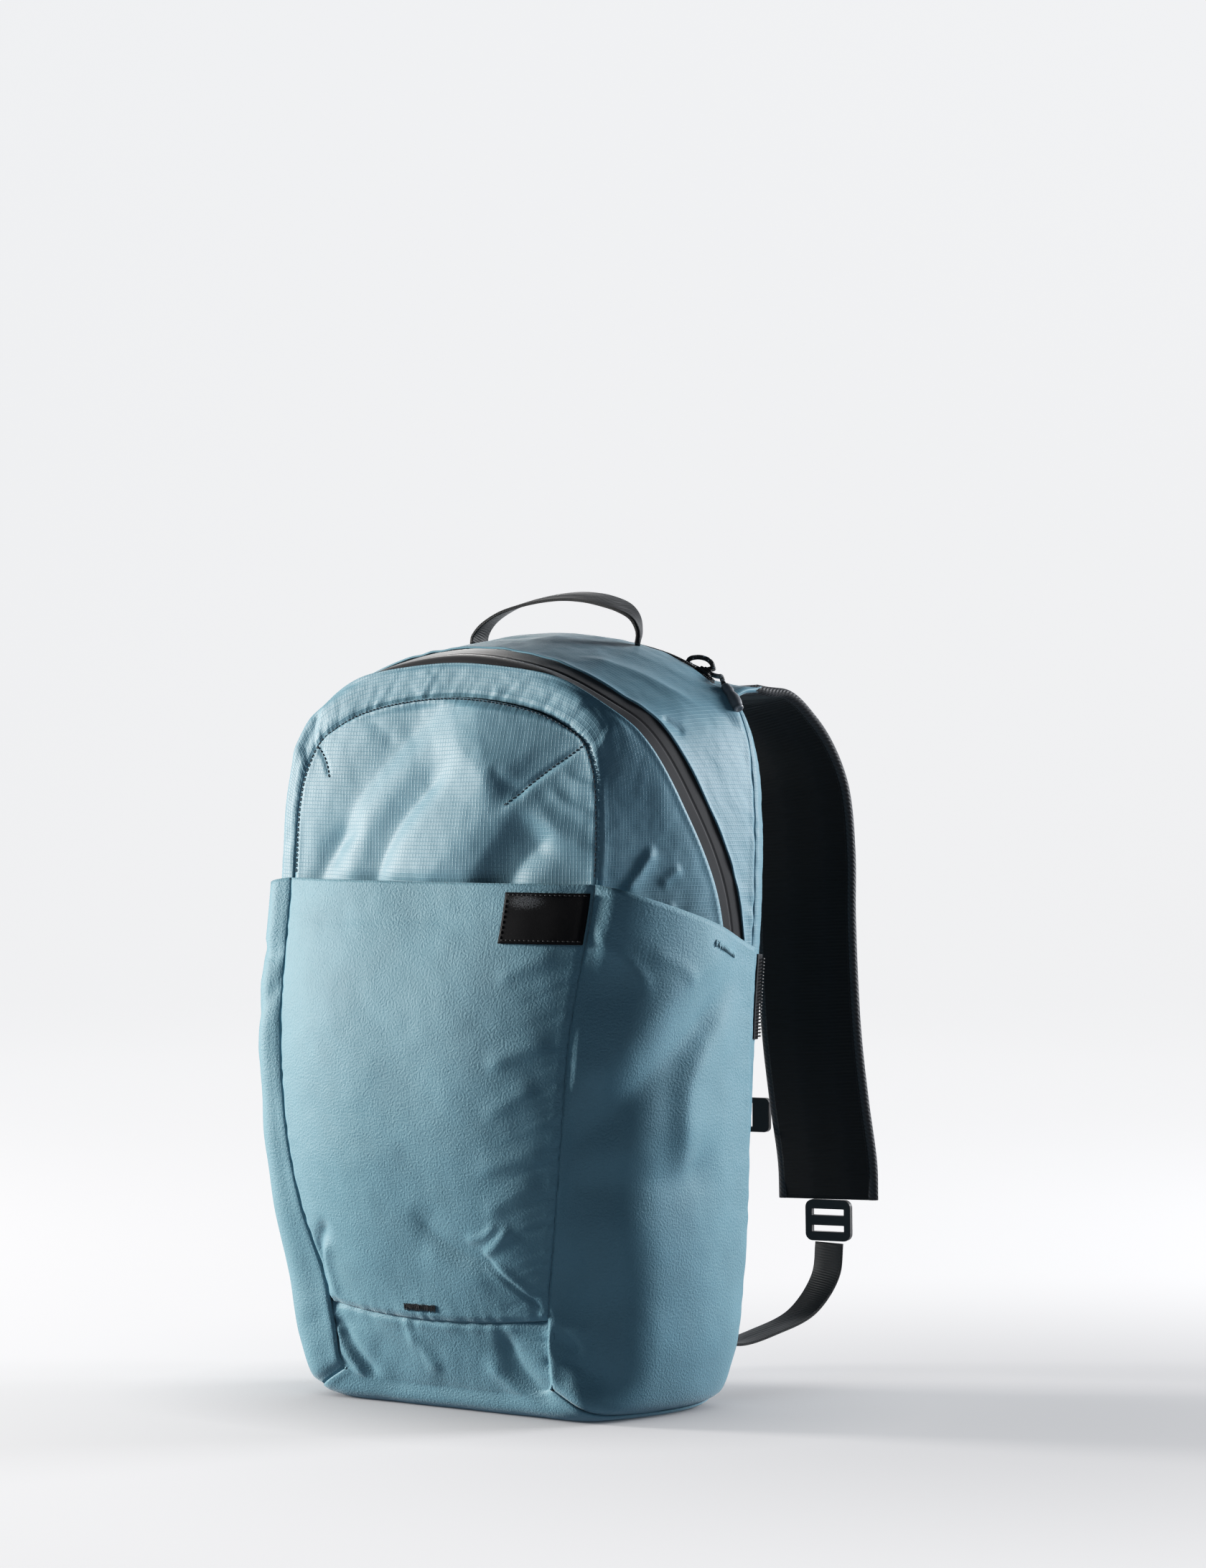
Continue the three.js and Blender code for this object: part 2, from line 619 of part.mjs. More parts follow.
function addSides(name, side) {
  const stations = steps(0, 1, LOWER_RING.length - 1);
  const low = CORNER_STATION + stationStep(CORNER_STATION, SIDE_TRIM);
  const high = ZIP_END_STATION - stationStep(ZIP_END_STATION, GAP / 2);
  const panel = (share, row) => {
    const point = sidePoint(mix(low, high, row), share, side);
    const hollow = Math.max(0, Math.sin(Math.PI * share) * Math.sin(Math.PI * row));
    point.x -= side * SIDE_HOLLOW * hollow;
    return point;
  };
  addMesh(`side_panel_${name}`, 'ripstop', sheet(SIDE_SHARES, stations, panel, WALL, coreLine));

  const slant = stationStep(HEM_STATION, SIDE_POCKET_SLANT);
  const start = low + stationStep(low, SIDE_TRIM);
  const mouth = (share) => HEM_STATION - slant * Math.max(0, share) ** 1.2;
  const pocket = (share, row) => {
    const station = mix(start, mouth(share), row);
    const small = 0.01;
    const point = sidePoint(station, share, side);
    const rise = sidePoint(station + small, share, side).sub(point);
    const across = sidePoint(station, share + small, side).sub(point);
    const normal = rise.cross(across).normalize();
    if (normal.x * side < 0 && Math.abs(normal.x) > 0.2) normal.negate();
    if (Math.abs(normal.x) <= 0.2 && normal.y > 0) normal.negate();
    const swell = Math.max(0, Math.sin(Math.PI * share)) ** 1.2;
    const fill = Math.min(1, Math.max(0, row * 1.6)) ** 1.5 + MOUTH_FLARE * row;
    const room = SIDE_POCKET_ROOM * swell * fill;
    point.addScaledVector(normal, WALL + 1.5 * GAP + room);
    point.z = Math.max(point.z, GAP + WALL * (1 - Math.abs(normal.z)));
    return point;
  };
  const rows = steps(0, 1, 10);
  const shares = SIDE_SHARES.map((share) => mix(0.01, 0.985, share));
  addMesh(`side_pocket_${name}`, 'softshell', sheet(shares, rows, pocket, WALL, coreLine));
}

// The rear zip ends at the ring place nearest to its spread
const REAR_ZIP_STATION = UPPER_RING.reduce((best, station) => {
  const miss = (place) => Math.abs(rearEdge(place).x - REAR_ZIP_SPREAD);
  return station > SHOULDER_STATION - 1 && miss(station) < miss(best) ? station : best;
}, TOP_STATION);

function addBody() {
  const upper = bothSides(UPPER_RING);
  const front = () => 0;
  ringStrip('front_gusset', 'ripstop', upper, 4, front, (place) => zipEdge(place, -1));
  const tapeEdge = (place, side) => zipEdge(place, side * ZIP_TRIM);
  ringStrip('main_zip', 'zipTape', upper, 2, (place) => tapeEdge(place, -1), (place) => tapeEdge(place, 1));
  ringStrip('rear_gusset', 'ripstop', upper, 6, (place) => zipEdge(place, 1), rearSeam);
  const whole = bothSides([...LOWER_RING, ...UPPER_RING.slice(1)]);
  const zipped = ringPosition(REAR_ZIP_STATION, 1) + 1e-6;
  const bandEdge = (place) => (Math.abs(place) > zipped ? rearSeam(place) : rearZipEdge(place));
  ringStrip('rear_band', 'ripstop', whole, 3, bandEdge, () => 1);
  const covered = upper.filter((place) => Math.abs(place) <= zipped);
  ringStrip('rear_zip', 'zipTape', covered, 1, rearSeam, rearZipEdge);
  addFrontPanel();
  addFrontPocket();
  addBackPanel();
  addBasePanel();
  addSides('left', -1);
  addSides('right', 1);
}

// Place of a node on the skin: point, the directions along the ring and off the skin.
function seat(position, depth) {
  const small = 1e-3;
  const point = ringPoint(position, depth);
  const along = ringPoint(position + small, depth).sub(point).normalize();
  const deeper = ringPoint(position, depth + small).sub(point);
  const off = deeper.clone().cross(along).normalize();
  if (off.dot(point.clone().sub(coreLine(point))) < 0) off.negate();
  return { position, point, along, off, deeper: deeper.normalize() };
}

// Ring position above the shoulder where the skin at a depth is as wide as asked.
function positionAtWidth(width, depth) {
  const station = archStation((place) => skin(place, depth, 1), Math.abs(width));
  return ringPosition(station, Math.sign(width));
}

function addHandle() {
  const line = ringPoint(positionAtWidth(HANDLE_SPAN / 2, HANDLE_PLACE), HANDLE_PLACE).y;
  const points = HANDLE_PATH.map(({ along, rise }) => new THREE.Vector3(
    along * HANDLE_SPAN / 2,
    line + rise * HANDLE_RISE * HANDLE_LEAN,
    rise * HANDLE_RISE,
  ));
  const curve = new THREE.CatmullRomCurve3(points, false, 'centripetal');
  const frames = framesAlong(curve, 26, (share) => {
    const along = curve.getPointAt(share).x / (HANDLE_SPAN / 2);
    const row = stationOf(HANDLE_PATH, 'along', along, 0, HANDLE_PATH.length - 1);
    const twist = column(HANDLE_PATH, 'twist', row);
    return new THREE.Vector3(-Math.sin(twist), Math.cos(twist), Math.sin(HANDLE_LEAN));
  });

  // Each foot stands clear of the skin below all of its corners
  const section = flatSection(WEBBING_WIDTH, WEBBING_THICKNESS);
  const feet = [frames[0], frames[frames.length - 1]];
  const lifts = feet.flatMap((foot) => section.map(([side, up]) => {
    const corner = foot.centre.clone().addScaledVector(foot.across, side).addScaledVector(foot.lift, up);
    return topHeight(corner.x, corner.y) - corner.z;
  }));
  const raise = Math.max(...lifts) + GAP / 2;
  for (const frame of frames) frame.centre.z += raise;
  addMesh('haul_handle', 'webbing', sweep(frames, section));
}

// Height of the skin over a place of the floor, on the top of the pack.
function topHeight(x, y) {
  let front = 0.2;
  let back = 1;
  const point = (depth) => ringPoint(positionAtWidth(x, depth), depth);
  for (let step = 0; step < 30; step += 1) {
    const middle = (front + back) / 2;
    if (point(middle).y < y) front = middle;
    else back = middle;
  }
  return point(front).z;
}

const mirrored = (vector, side) => new THREE.Vector3(side * vector.x, vector.y, vector.z);

// Frames of one shoulder strap; its outer edge turns away from the back.
function strapFrames(side) {
  const drop = STRAP_ROOT_HEIGHT - STRAP_END_HEIGHT;
  const points = STRAP_PATH.map(({ back, down, spread }) => new THREE.Vector3(
    mix(STRAP_ROOT_SPREAD, STRAP_END_SPREAD, spread),
    REAR_DEPTH + back * STRAP_REACH,
    STRAP_ROOT_HEIGHT - down * drop,
  ));
  const curve = new THREE.CatmullRomCurve3(points, false, 'centripetal');
  return steps(0, 1, 26).map((share) => {
    const centre = curve.getPointAt(share);
    const along = curve.getTangentAt(share);
    const row = Math.min(1, (STRAP_ROOT_HEIGHT - centre.z) / drop);
    const turn = STRAP_TURN * Math.min(1, Math.max(0, row / 0.2));
    const wanted = new THREE.Vector3(Math.cos(turn), Math.sin(turn), 0);
    const lift = along.clone().cross(wanted).normalize();
    const across = lift.clone().cross(along).normalize();
    return { centre: mirrored(centre, side), across: mirrored(across, side), lift: mirrored(lift, side) };
  });
}

// Yoke: cloth wing between the pack's top edge and the root of a strap.
function addYoke(name, side, root) {
  const half = STRAP_WIDTH / 2;
  const start = (share) => {
    const width = Math.abs(root.centre.x) + share * half;
    const place = positionAtWidth(width, 1);
    const edge = ringPoint(place, 1);
    edge.y += GAP + YOKE_CLEARANCE;
    return edge;
  };
  const surface = (share, run) => {
    const from = mirrored(start(share), side);
    const to = root.centre.clone().addScaledVector(root.across, share * half);
    to.y -= 2.5 * GAP;
    to.z += YOKE_THICKNESS / 2;
    const arch = Math.sin(Math.PI * Math.min(1, Math.max(0, run))) * YOKE_THICKNESS * 0.8;
    return from.lerp(to, run).add(new THREE.Vector3(0, 0, arch));
  };
  const below = (point) => new THREE.Vector3(point.x, point.y, point.z - STRAP_WIDTH);
  addMesh(`yoke_${name}`, 'ripstop', sheet(steps(-1, 1, 6), steps(0, 1, 4), surface, YOKE_THICKNESS, below));
}

// Frame on a strap at a height above the floor.
function frameAtHeight(frames, height) {
  const below = frames.findIndex((frame) => frame.centre.z < height);
  const start = frames[below - 1];
  const end = frames[below];
  const share = (start.centre.z - height) / (start.centre.z - end.centre.z);
  const blend = (key) => start[key].clone().lerp(end[key], share);
  return { centre: blend('centre'), across: blend('across').normalize(), lift: blend('lift').normalize() };
}

// Flat plate with rounded corners and slots, lying in a plane given by its frame.
function plate(frame, width, height, thickness, slots) {
  const corner = Math.min(width, height) * 0.18;
  const outlineShape = new THREE.Shape();
  const w = width / 2;
  const h = height / 2;
  outlineShape.moveTo(-w + corner, -h);
  for (const [x, y, turn] of [[w, -h, 0], [w, h, 1], [-w, h, 2], [-w, -h, 3]]) {
    const inX = x - Math.sign(x) * corner;
    const inY = y - Math.sign(y) * corner;
    outlineShape.absarc(inX, inY, corner, (turn - 1) * Math.PI / 2, turn * Math.PI / 2, false);
  }
  for (const slot of slots) {
    const hole = new THREE.Path();
    hole.moveTo(slot.x - slot.width / 2, slot.y - slot.height / 2);
    hole.lineTo(slot.x - slot.width / 2, slot.y + slot.height / 2);
    hole.lineTo(slot.x + slot.width / 2, slot.y + slot.height / 2);
    hole.lineTo(slot.x + slot.width / 2, slot.y - slot.height / 2);
    hole.closePath();
    outlineShape.holes.push(hole);
  }
  const geometry = new THREE.ExtrudeGeometry(outlineShape, { depth: thickness, bevelEnabled: false, curveSegments: 3 });
  geometry.translate(0, 0, -thickness / 2);
  const up = frame.lift.clone().cross(frame.across);
  const turn = new THREE.Matrix4().makeBasis(frame.across, up, frame.lift).setPosition(frame.centre);
  return geometry.applyMatrix4(turn);
}

function addStrap(name, side) {
  const frames = strapFrames(side);
  addMesh(`shoulder_strap_${name}`, 'mesh', sweep(frames, padSection(STRAP_WIDTH, STRAP_THICKNESS)));
  addYoke(name, side, frames[0]);

  // Ladder lock at the strap's lower end
  const end = frames[frames.length - 1];
  const down = end.centre.clone().sub(frames[frames.length - 2].centre).normalize();
  const lockCentre = end.centre.clone().addScaledVector(down, LOCK_LENGTH / 2 + GAP);
  const slots = [-1, 1].map((place) => (
    { x: 0, y: place * LOCK_LENGTH * 0.2, width: LOCK_WIDTH - 8, height: LOCK_LENGTH * 0.16 }
  ));
  const lockFrame = rightHanded({ ...end, centre: lockCentre }, down);
  addMesh(`strap_lock_${name}`, 'plastic', plate(lockFrame, LOCK_WIDTH, LOCK_LENGTH, LOCK_THICKNESS, slots));

  // Webbing from the lock down and forward to the pack's lower rear corner
  const lockEnd = lockCentre.clone().addScaledVector(down, LOCK_LENGTH / 2 + 2 * GAP);
  const anchorStation = stationAtHeight(ANCHOR_HEIGHT);
  const corner = rearEdge(anchorStation);
  const anchorX = corner.x - WEBBING_WIDTH * 0.7;
  const anchorY = corner.y + BACK_BULGE + GAP;
  const anchor = new THREE.Vector3(side * anchorX, anchorY, corner.z);
  const run = lockEnd.y - anchorY;
  const fall = lockEnd.z - anchor.z;
  const between = (back, rise) => new THREE.Vector3(
    mix(anchor.x, lockEnd.x, back), anchorY + run * back, anchor.z + fall * rise);
  const curve = new THREE.CatmullRomCurve3(
    [lockEnd, between(0.97, 0.62), between(0.78, 0.22), between(0.45, 0.02), between(0.18, -0.06), anchor],
    false, 'centripetal');
  const webbing = framesAlong(curve, 16, new THREE.Vector3(1, 0, 0));
  addMesh(`strap_webbing_${name}`, 'webbing', sweep(webbing, flatSection(WEBBING_WIDTH, WEBBING_THICKNESS)));

  // Sternum slider at the strap's inner edge
  const level = frameAtHeight(frames, STERNUM_HEIGHT);
  const reach = STRAP_WIDTH / 2 + 2 * GAP + SLIDER_WIDTH / 2;
  const sliderCentre = level.centre.clone().addScaledVector(level.across, -reach);
  const slot = [{ x: side * -SLIDER_WIDTH * 0.18, y: 0, width: SLIDER_SLOT, height: SLIDER_HEIGHT - 6 }];
  const sliderFrame = rightHanded({ ...level, centre: sliderCentre }, new THREE.Vector3(0, 0, -1));
  addMesh(`sternum_slider_${name}`, 'plastic', plate(sliderFrame, SLIDER_WIDTH, SLIDER_HEIGHT, SLIDER_THICKNESS, slot));
  const inwards = new THREE.Vector3(-level.across.x, -level.across.y, 0).normalize();
  return sliderCentre.addScaledVector(inwards, SLIDER_WIDTH / 2 + GAP);
}

// Frame whose three directions are square to each other and make a right-handed set.
function rightHanded(frame, down) {
  const up = down.clone().negate();
  const across = new THREE.Vector3(Math.abs(frame.across.x), Math.sign(frame.across.x) * frame.across.y, 0).normalize();
  const lift = across.clone().cross(up).normalize();
  return { centre: frame.centre, across, lift };
}

// Sternum webbing in two halves that meet a buckle at the middle.
function addSternumStrap(leftEnd, rightEnd) {
  const middle = leftEnd.clone().add(rightEnd).multiplyScalar(0.5);
  middle.z -= STERNUM_SAG;
  middle.y += STERNUM_SAG;
  const flat = { centre: middle, across: new THREE.Vector3(1, 0, 0), lift: new THREE.Vector3(0, -1, 0) };
  addMesh('sternum_buckle', 'plastic', plate(flat, BUCKLE_WIDTH, BUCKLE_HEIGHT, BUCKLE_THICKNESS, []));
  for (const [name, start, side] of [['left', leftEnd, -1], ['right', rightEnd, 1]]) {
    const inner = middle.clone();
    inner.x += side * (BUCKLE_WIDTH / 2 + GAP);
    const turn = side * STRAP_TURN;
    const lead = 5;
    const leave = new THREE.Vector3(-side * Math.cos(turn), -Math.abs(Math.sin(turn)), 0);
    const straight = start.clone().addScaledVector(leave, lead);
    const reachIn = inner.clone();
    reachIn.x += side * lead;
    const curve = new THREE.CatmullRomCurve3([start, straight, reachIn, inner], false, 'centripetal');
    const frames = framesAlong(curve, 8, new THREE.Vector3(0, 0, 1));
    const lastFrame = frames[frames.length - 1];
    lastFrame.across.set(0, 0, 1);
    lastFrame.lift.set(0, 1, 0);
    addMesh(`sternum_webbing_${name}`, 'webbing', sweep(frames, flatSection(STERNUM_WEBBING_WIDTH, WEBBING_THICKNESS)));
  }
}

// Rear zip slider on the right shoulder of the back edge, with its cord and moulded end.
function addZipPull() {
  const depth = (place) => (rearSeam(place) + rearZipEdge(place)) / 2;
  const place = positionAtWidth(ZIP_SLIDER_SPREAD, REAR_CORNER);
  const spot = seat(place, depth(place));
  const middle = spot.point.clone().addScaledVector(spot.off, GAP + ZIP_SLIDER_THICKNESS / 2);
  const frame = { centre: middle, across: spot.along, lift: spot.off };
  addMesh('zip_slider', 'plastic', plate(frame, ZIP_SLIDER_LENGTH, ZIP_SLIDER_WIDTH, ZIP_SLIDER_THICKNESS, []));

  const route = PULL_ROUTE.map(({ right, behind, above }) => (
    middle.clone().add(new THREE.Vector3(right, behind, above))
  ));
  const curve = new THREE.CatmullRomCurve3(route, false, 'centripetal');
  const cord = framesAlong(curve, 22, new THREE.Vector3(0, 1, 0));
  addMesh('pull_cord', 'cord', sweep(cord, roundSection(PULL_CORD_DIAMETER, 8)));

  const fall = new THREE.Vector3(PULL_END_DROP.right, PULL_END_DROP.behind, PULL_END_DROP.above).normalize();
  const top = route[route.length - 1].clone().addScaledVector(fall, GAP + PULL_CORD_DIAMETER * 0.15);
  const tip = top.clone().addScaledVector(fall, PULL_END_LENGTH);
  const line = new THREE.LineCurve3(top, tip);
  const body = framesAlong(line, 4, new THREE.Vector3(0, 1, 0));
  body.forEach((ring, index) => { ring.scale = [0.62, 0.9, 1, 1, 0.8][index]; });
  addMesh('pull_end', 'plastic', sweep(body, roundSection(PULL_END_DIAMETER, 8)));
}

// Short coil zip on the rounding beside the back panel.
function addSideZip(name, side) {
  const bottom = ringPosition(stationAtHeight(SIDE_ZIP_BOTTOM), side);
  const top = ringPosition(stationAtHeight(SIDE_ZIP_TOP), side);
  const frames = steps(bottom, top, 6).map((place) => {
    const spot = seat(place, REAR_CORNER);
    const centre = spot.point.addScaledVector(spot.off, GAP + SIDE_ZIP_THICKNESS / 2);
    return { centre, across: spot.deeper, lift: spot.off };
  });
  addMesh(`side_zip_${name}`, 'zipTape', sweep(frames, padSection(SIDE_ZIP_WIDTH, SIDE_ZIP_THICKNESS)));
}

addBody();
addHandle();
const sternumEnds = [addStrap('left', -1), addStrap('right', 1)];
addSternumStrap(...sternumEnds);
addZipPull();
addSideZip('left', -1);
addSideZip('right', 1);

// The origin is the middle of the floor area that the whole pack covers.
const bounds = new THREE.Box3().setFromObject(pack);
const middle = bounds.getCenter(new THREE.Vector3());
pack.position.set(-middle.x, -middle.y, -bounds.min.z);

export default pack;
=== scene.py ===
"""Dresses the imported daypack: cloth panels with their folds, zips, webbing, straps and moulded parts."""

import math

import bpy
import numpy as np
from mathutils import Matrix, Vector


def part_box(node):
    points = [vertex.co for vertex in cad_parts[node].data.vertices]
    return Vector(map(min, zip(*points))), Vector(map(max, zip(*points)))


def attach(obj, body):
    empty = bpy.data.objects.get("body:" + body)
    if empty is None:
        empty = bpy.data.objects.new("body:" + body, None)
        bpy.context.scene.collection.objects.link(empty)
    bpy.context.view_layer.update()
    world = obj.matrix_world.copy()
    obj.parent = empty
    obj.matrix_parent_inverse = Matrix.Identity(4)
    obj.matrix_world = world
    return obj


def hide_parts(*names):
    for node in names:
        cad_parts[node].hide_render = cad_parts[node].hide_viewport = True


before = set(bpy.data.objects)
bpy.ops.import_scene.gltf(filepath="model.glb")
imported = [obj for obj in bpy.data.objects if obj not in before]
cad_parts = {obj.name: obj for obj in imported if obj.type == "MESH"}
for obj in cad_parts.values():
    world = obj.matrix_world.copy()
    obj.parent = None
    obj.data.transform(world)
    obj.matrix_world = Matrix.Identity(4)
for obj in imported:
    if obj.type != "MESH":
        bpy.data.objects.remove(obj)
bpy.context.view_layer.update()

bl_info = {
    "name": "Packable daypack",
    "version": (1, 0, 0),
    "blender": (4, 5, 0),
    "location": "3D View > Sidebar > Daypack",
    "description": "Dresses the packed daypack in cloth, zips, webbing and moulded parts",
    "category": "Add Mesh",
}

# Sizes of the body in millimetres, as in the part's source
BODY_HEIGHT = 438.0
HALF_WIDTH = 132.0
FRONT_DEPTH = 88.0
REAR_DEPTH = 64.0
PANEL_BULGE = 17.0
BACK_BULGE = 4.0
BASE_SEAM_HEIGHT = 57.0
BASE_SEAM_SAG = 5.0
HEM_HEIGHT = 297.0
ZIP_END_HEIGHT = 272.0
MAIN_ZIP_WIDTH = 19.5
REAR_SEAM_WIDTH = 17.0
REAR_ZIP_WIDTH = 7.0
REAR_ZIP_SPREAD = 93.0
POCKET_ROOM = 12.0
POCKET_FULLNESS = 18.0
TUCK = 0.9
TUCK_TOP = 385.0
TUCK_REACH = 0.45
GUSSET_TUCK_REACH = 1.0
SIDE_POCKET_ROOM = 8.0
SIDE_HOLLOW = 6.0
MOUTH_FLARE = 0.2
SIDE_POCKET_SLANT = 34.0
SIDE_TRIM = 1.2
WALL = 1.6
GAP = 0.55
LABEL_WIDTH = 50.0
LABEL_HEIGHT = 28.0
LABEL_DROP = 5.0
STRAP_WIDTH = 62.0
STRAP_THICKNESS = 6.0
STRAP_ROOT_HEIGHT = 404.0
STRAP_END_HEIGHT = 108.0
STRAP_REACH = 112.0
STRAP_ROOT_SPREAD = 66.0
STRAP_END_SPREAD = 94.0
STRAP_TURN = 0.26
LAP = 30.0
LAP_DROP = 3.0
YOKE_THICKNESS = 3.0
WEBBING_WIDTH = 20.0
WEBBING_THICKNESS = 1.8
LOCK_LENGTH = 24.0
ANCHOR_HEIGHT = 40.0
HANDLE_SPAN = 118.0
HANDLE_RISE = 22.0
HANDLE_PLACE = 0.76
HANDLE_LEAN = 0.22
STERNUM_HEIGHT = 159.0
STERNUM_SAG = 6.0
STERNUM_WEBBING_WIDTH = 15.0
SLIDER_WIDTH = 17.0
BUCKLE_WIDTH = 34.0
BUCKLE_HEIGHT = 22.0
ZIP_SLIDER_THICKNESS = 4.0
ZIP_SLIDER_SPREAD = 87.0
PULL_CORD_DIAMETER = 2.8
PULL_END_LENGTH = 20.0
SIDE_ZIP_TOP = 254.0
SIDE_ZIP_BOTTOM = 204.0
REAR_CORNER = 0.95

# Stations round half of the outline, from bottom centre over the side to top centre
OUTLINE = {
    "frontX": (0, 0.29, 0.56, 0.60, 0.63, 0.71, 0.77, 0.81, 0.845, 0.84, 0.80, 0.70, 0.43, 0),
    "frontZ": (0.030, 0.030, 0.040, 0.100, 0.165, 0.255, 0.360, 0.500, 0.660, 0.770, 0.826, 0.864, 0.898, 0.913),
    "wideX": (0, 0.38, 0.78, 0.91, 0.94, 0.955, 0.96, 0.97, 1, 0.99, 0.93, 0.80, 0.47, 0),
    "wideZ": (-0.006, -0.006, 0.002, 0.070, 0.160, 0.260, 0.370, 0.510, 0.660, 0.790, 0.880, 0.926, 0.978, 1),
    "frontY": (0.74, 0.74, 0.77, 0.82, 0.86, 0.95, 1, 0.98, 0.83, 0.79, 0.76, 0.74, 0.72, 0.71),
    "rearY": (0.84, 0.84, 0.86, 0.92, 0.97, 0.99, 1, 1, 1, 1, 0.98, 0.96, 0.94, 0.93),
    "bulge": (0.10, 0.10, 0.16, 0.38, 0.60, 0.80, 0.96, 1, 0.84, 0.66, 0.48, 0.30, 0.14, 0),
    "zip": (0.80, 0.80, 0.80, 0.80, 0.80, 0.80, 0.80, 0.80, 0.69, 0.50, 0.36, 0.265, 0.20, 0.185),
}

# Way from the front seam to the back edge, and how far out and back it has gone
ROUNDING = {
    "at": (0, 0.10, 0.22, 0.38, 0.62, 0.80, 0.91, 1),
    "sideOut": (0, 0.60, 0.84, 0.95, 1, 0.94, 0.76, 0.46),
    "topOut": (0, 0.54, 0.67, 0.80, 0.95, 0.98, 0.88, 0.60),
    "back": (0, 0.02, 0.10, 0.27, 0.58, 0.80, 0.93, 1),
}

STRAP_PATH = {
    "back": (0.32, 0.50, 0.64, 0.73, 0.78, 0.79, 0.76, 0.76, 0.81, 0.88, 0.89),
    "down": (0, 0.015, 0.070, 0.135, 0.210, 0.320, 0.450, 0.660, 0.800, 0.930, 1),
    "spread": (0, 0.14, 0.32, 0.48, 0.60, 0.70, 0.80, 0.93, 0.98, 1, 1),
}

HANDLE_PATH = {
    "along": (-1, -0.93, -0.70, -0.36, 0, 0.24, 0.50, 0.76, 0.93, 1),
    "rise": (0, 0.30, 0.66, 0.89, 1, 0.99, 0.89, 0.67, 0.34, 0),
    "twist": (0.10, 0.08, 0.05, 0.02, 0, 0.02, 0.10, 0.30, 0.54, 0.60),
}

# The zip pull's cord from the slider's eye, in millimetres right of, behind and above the slider
PULL_ROUTE = (
    (1.6, 5.4, 1.4), (1.8, 4.4, 3.8), (-1.1, 4.0, 6.4), (-5.7, 4.0, 7.7), (-10.2, 4.2, 7.8),
    (-13.8, 4.2, 7.1), (-15.6, 4.2, 5.3), (-13.8, 4.4, 3.6), (-10.2, 4.8, 1.9), (-5.0, 6.2, -0.4),
    (1.5, 7.2, -2.6), (6.8, 4.6, -3.2), (11.2, 0.2, -3.2), (15.8, -4.6, -4.7), (19.4, -7.8, -7.4),
)
PULL_END_DROP = (16.3, -5.0, -16.4)

CORNER, SIDE, SHOULDER, TOP = 2, 8, 11, 13

# Folds of each cloth: height in millimetres, reach to the left and right of the way it runs, and points.
# Points are millimetres on the cloth: across and up, or round the strip and away from its front seam.
PANEL_FOLDS = (
    (-4.0, 13, 20, ((8, 401), (-30, 376), (-50, 358), (-66, 338), (-80, 306), (-84, 270))),
    (-4.2, 9, 17, ((16, 372), (-12, 345), (-30, 325), (-42, 300), (-52, 262))),
    (-1.7, 6, 8, ((-50, 330), (-78, 316), (-93, 290), (-102, 260))),
    (1.8, 12, 22, ((2, 406), (16, 372), (36, 354), (41, 338), (24, 321), (2, 300), (-24, 264))),
    (-1.3, 16, 30, ((66, 392), (86, 362), (92, 336), (94, 305), (94, 235))),
    (-0.5, 4, 5, ((-70, 392), (-52, 384), (-36, 372))),
    (3.0, 34, 18, ((20, 408), (30, 376), (42, 356), (53, 342))),
    (-0.9, 1.5, 1.5, ((99, 374), (74, 358), (51, 339))),
    (0.9, 6, 3.0, ((97, 367), (73, 352), (48, 333))),
    (-0.9, 4, 6, ((40, 361), (50, 352), (66, 345))),
    (1.6, 9, 8, ((42, 328), (60, 338), (84, 327), (114, 310))),
    (1.5, 8, 16, ((60, 338), (41, 316), (16, 276))),
    (-4.4, 10, 18, ((86, 328), (62, 309), (42, 268))),
    (0.7, 3, 4, ((76, 351), (92, 340), (112, 333))),
    (0.6, 3, 4, ((84, 359), (98, 352), (112, 349))),
    (-1.0, 1.5, 1.5, ((-99, 372), (-92, 365), (-86, 354))),
)
POCKET_FOLDS = (
    (-1.5, 1.5, 1.5, ((81, 61), (54, 85), (46, 94))),
    (0.9, 5, 2.5, ((78, 66), (60, 84), (50, 92))),
    (-2.6, 7, 11, ((62, 84), (41, 91.5), (27, 96), (11, 106), (1, 118))),
    (1.5, 3, 3, ((70, 110), (59, 99), (46, 90))),
    (1.0, 2.4, 2.4, ((62, 112), (50, 102), (36, 100))),
    (0.8, 9, 9, ((54, 74), (28, 82), (3, 95))),
    (-2.8, 4, 6, ((-82, 58), (-84, 84), (-78, 94), (-64, 106))),
    (2.0, 5, 5, ((-72, 56), (-75, 82), (-68, 95))),
    (1.0, 4, 7, ((99, 259), (84, 254), (60, 242))),
    (1.1, 4, 7, ((101, 211), (84, 207), (58, 195))),
    (0.8, 4, 7, ((92, 187), (80, 181), (56, 167))),
    (0.8, 4, 7, ((98, 149), (80, 146), (50, 138))),
    (0.8, 4, 7, ((92, 134), (80, 130), (52, 114))),
    (-0.7, 2.5, 3.5, ((-102, 274), (-14, 277), (56, 278))),
)
BASE_FOLDS = (
    (1.7, 4, 4, ((-81, 48), (-75, 33), (-60, 12))),
    (-1.8, 5, 5, ((-75, 50), (-67, 31), (-50, 12))),
    (-1.6, 3, 3, ((-84, 42), (-82, 18))),
    (-2.8, 8, 8, ((46, 52), (57, 26), (80, 6))),
    (1.8, 6, 7, ((28, 34), (52, 16), (78, 0))),
    (-1.6, 4, 4, ((76, 38), (84, 18))),
    (1.0, 6, 6, ((-20, 46), (-2, 20))),
)
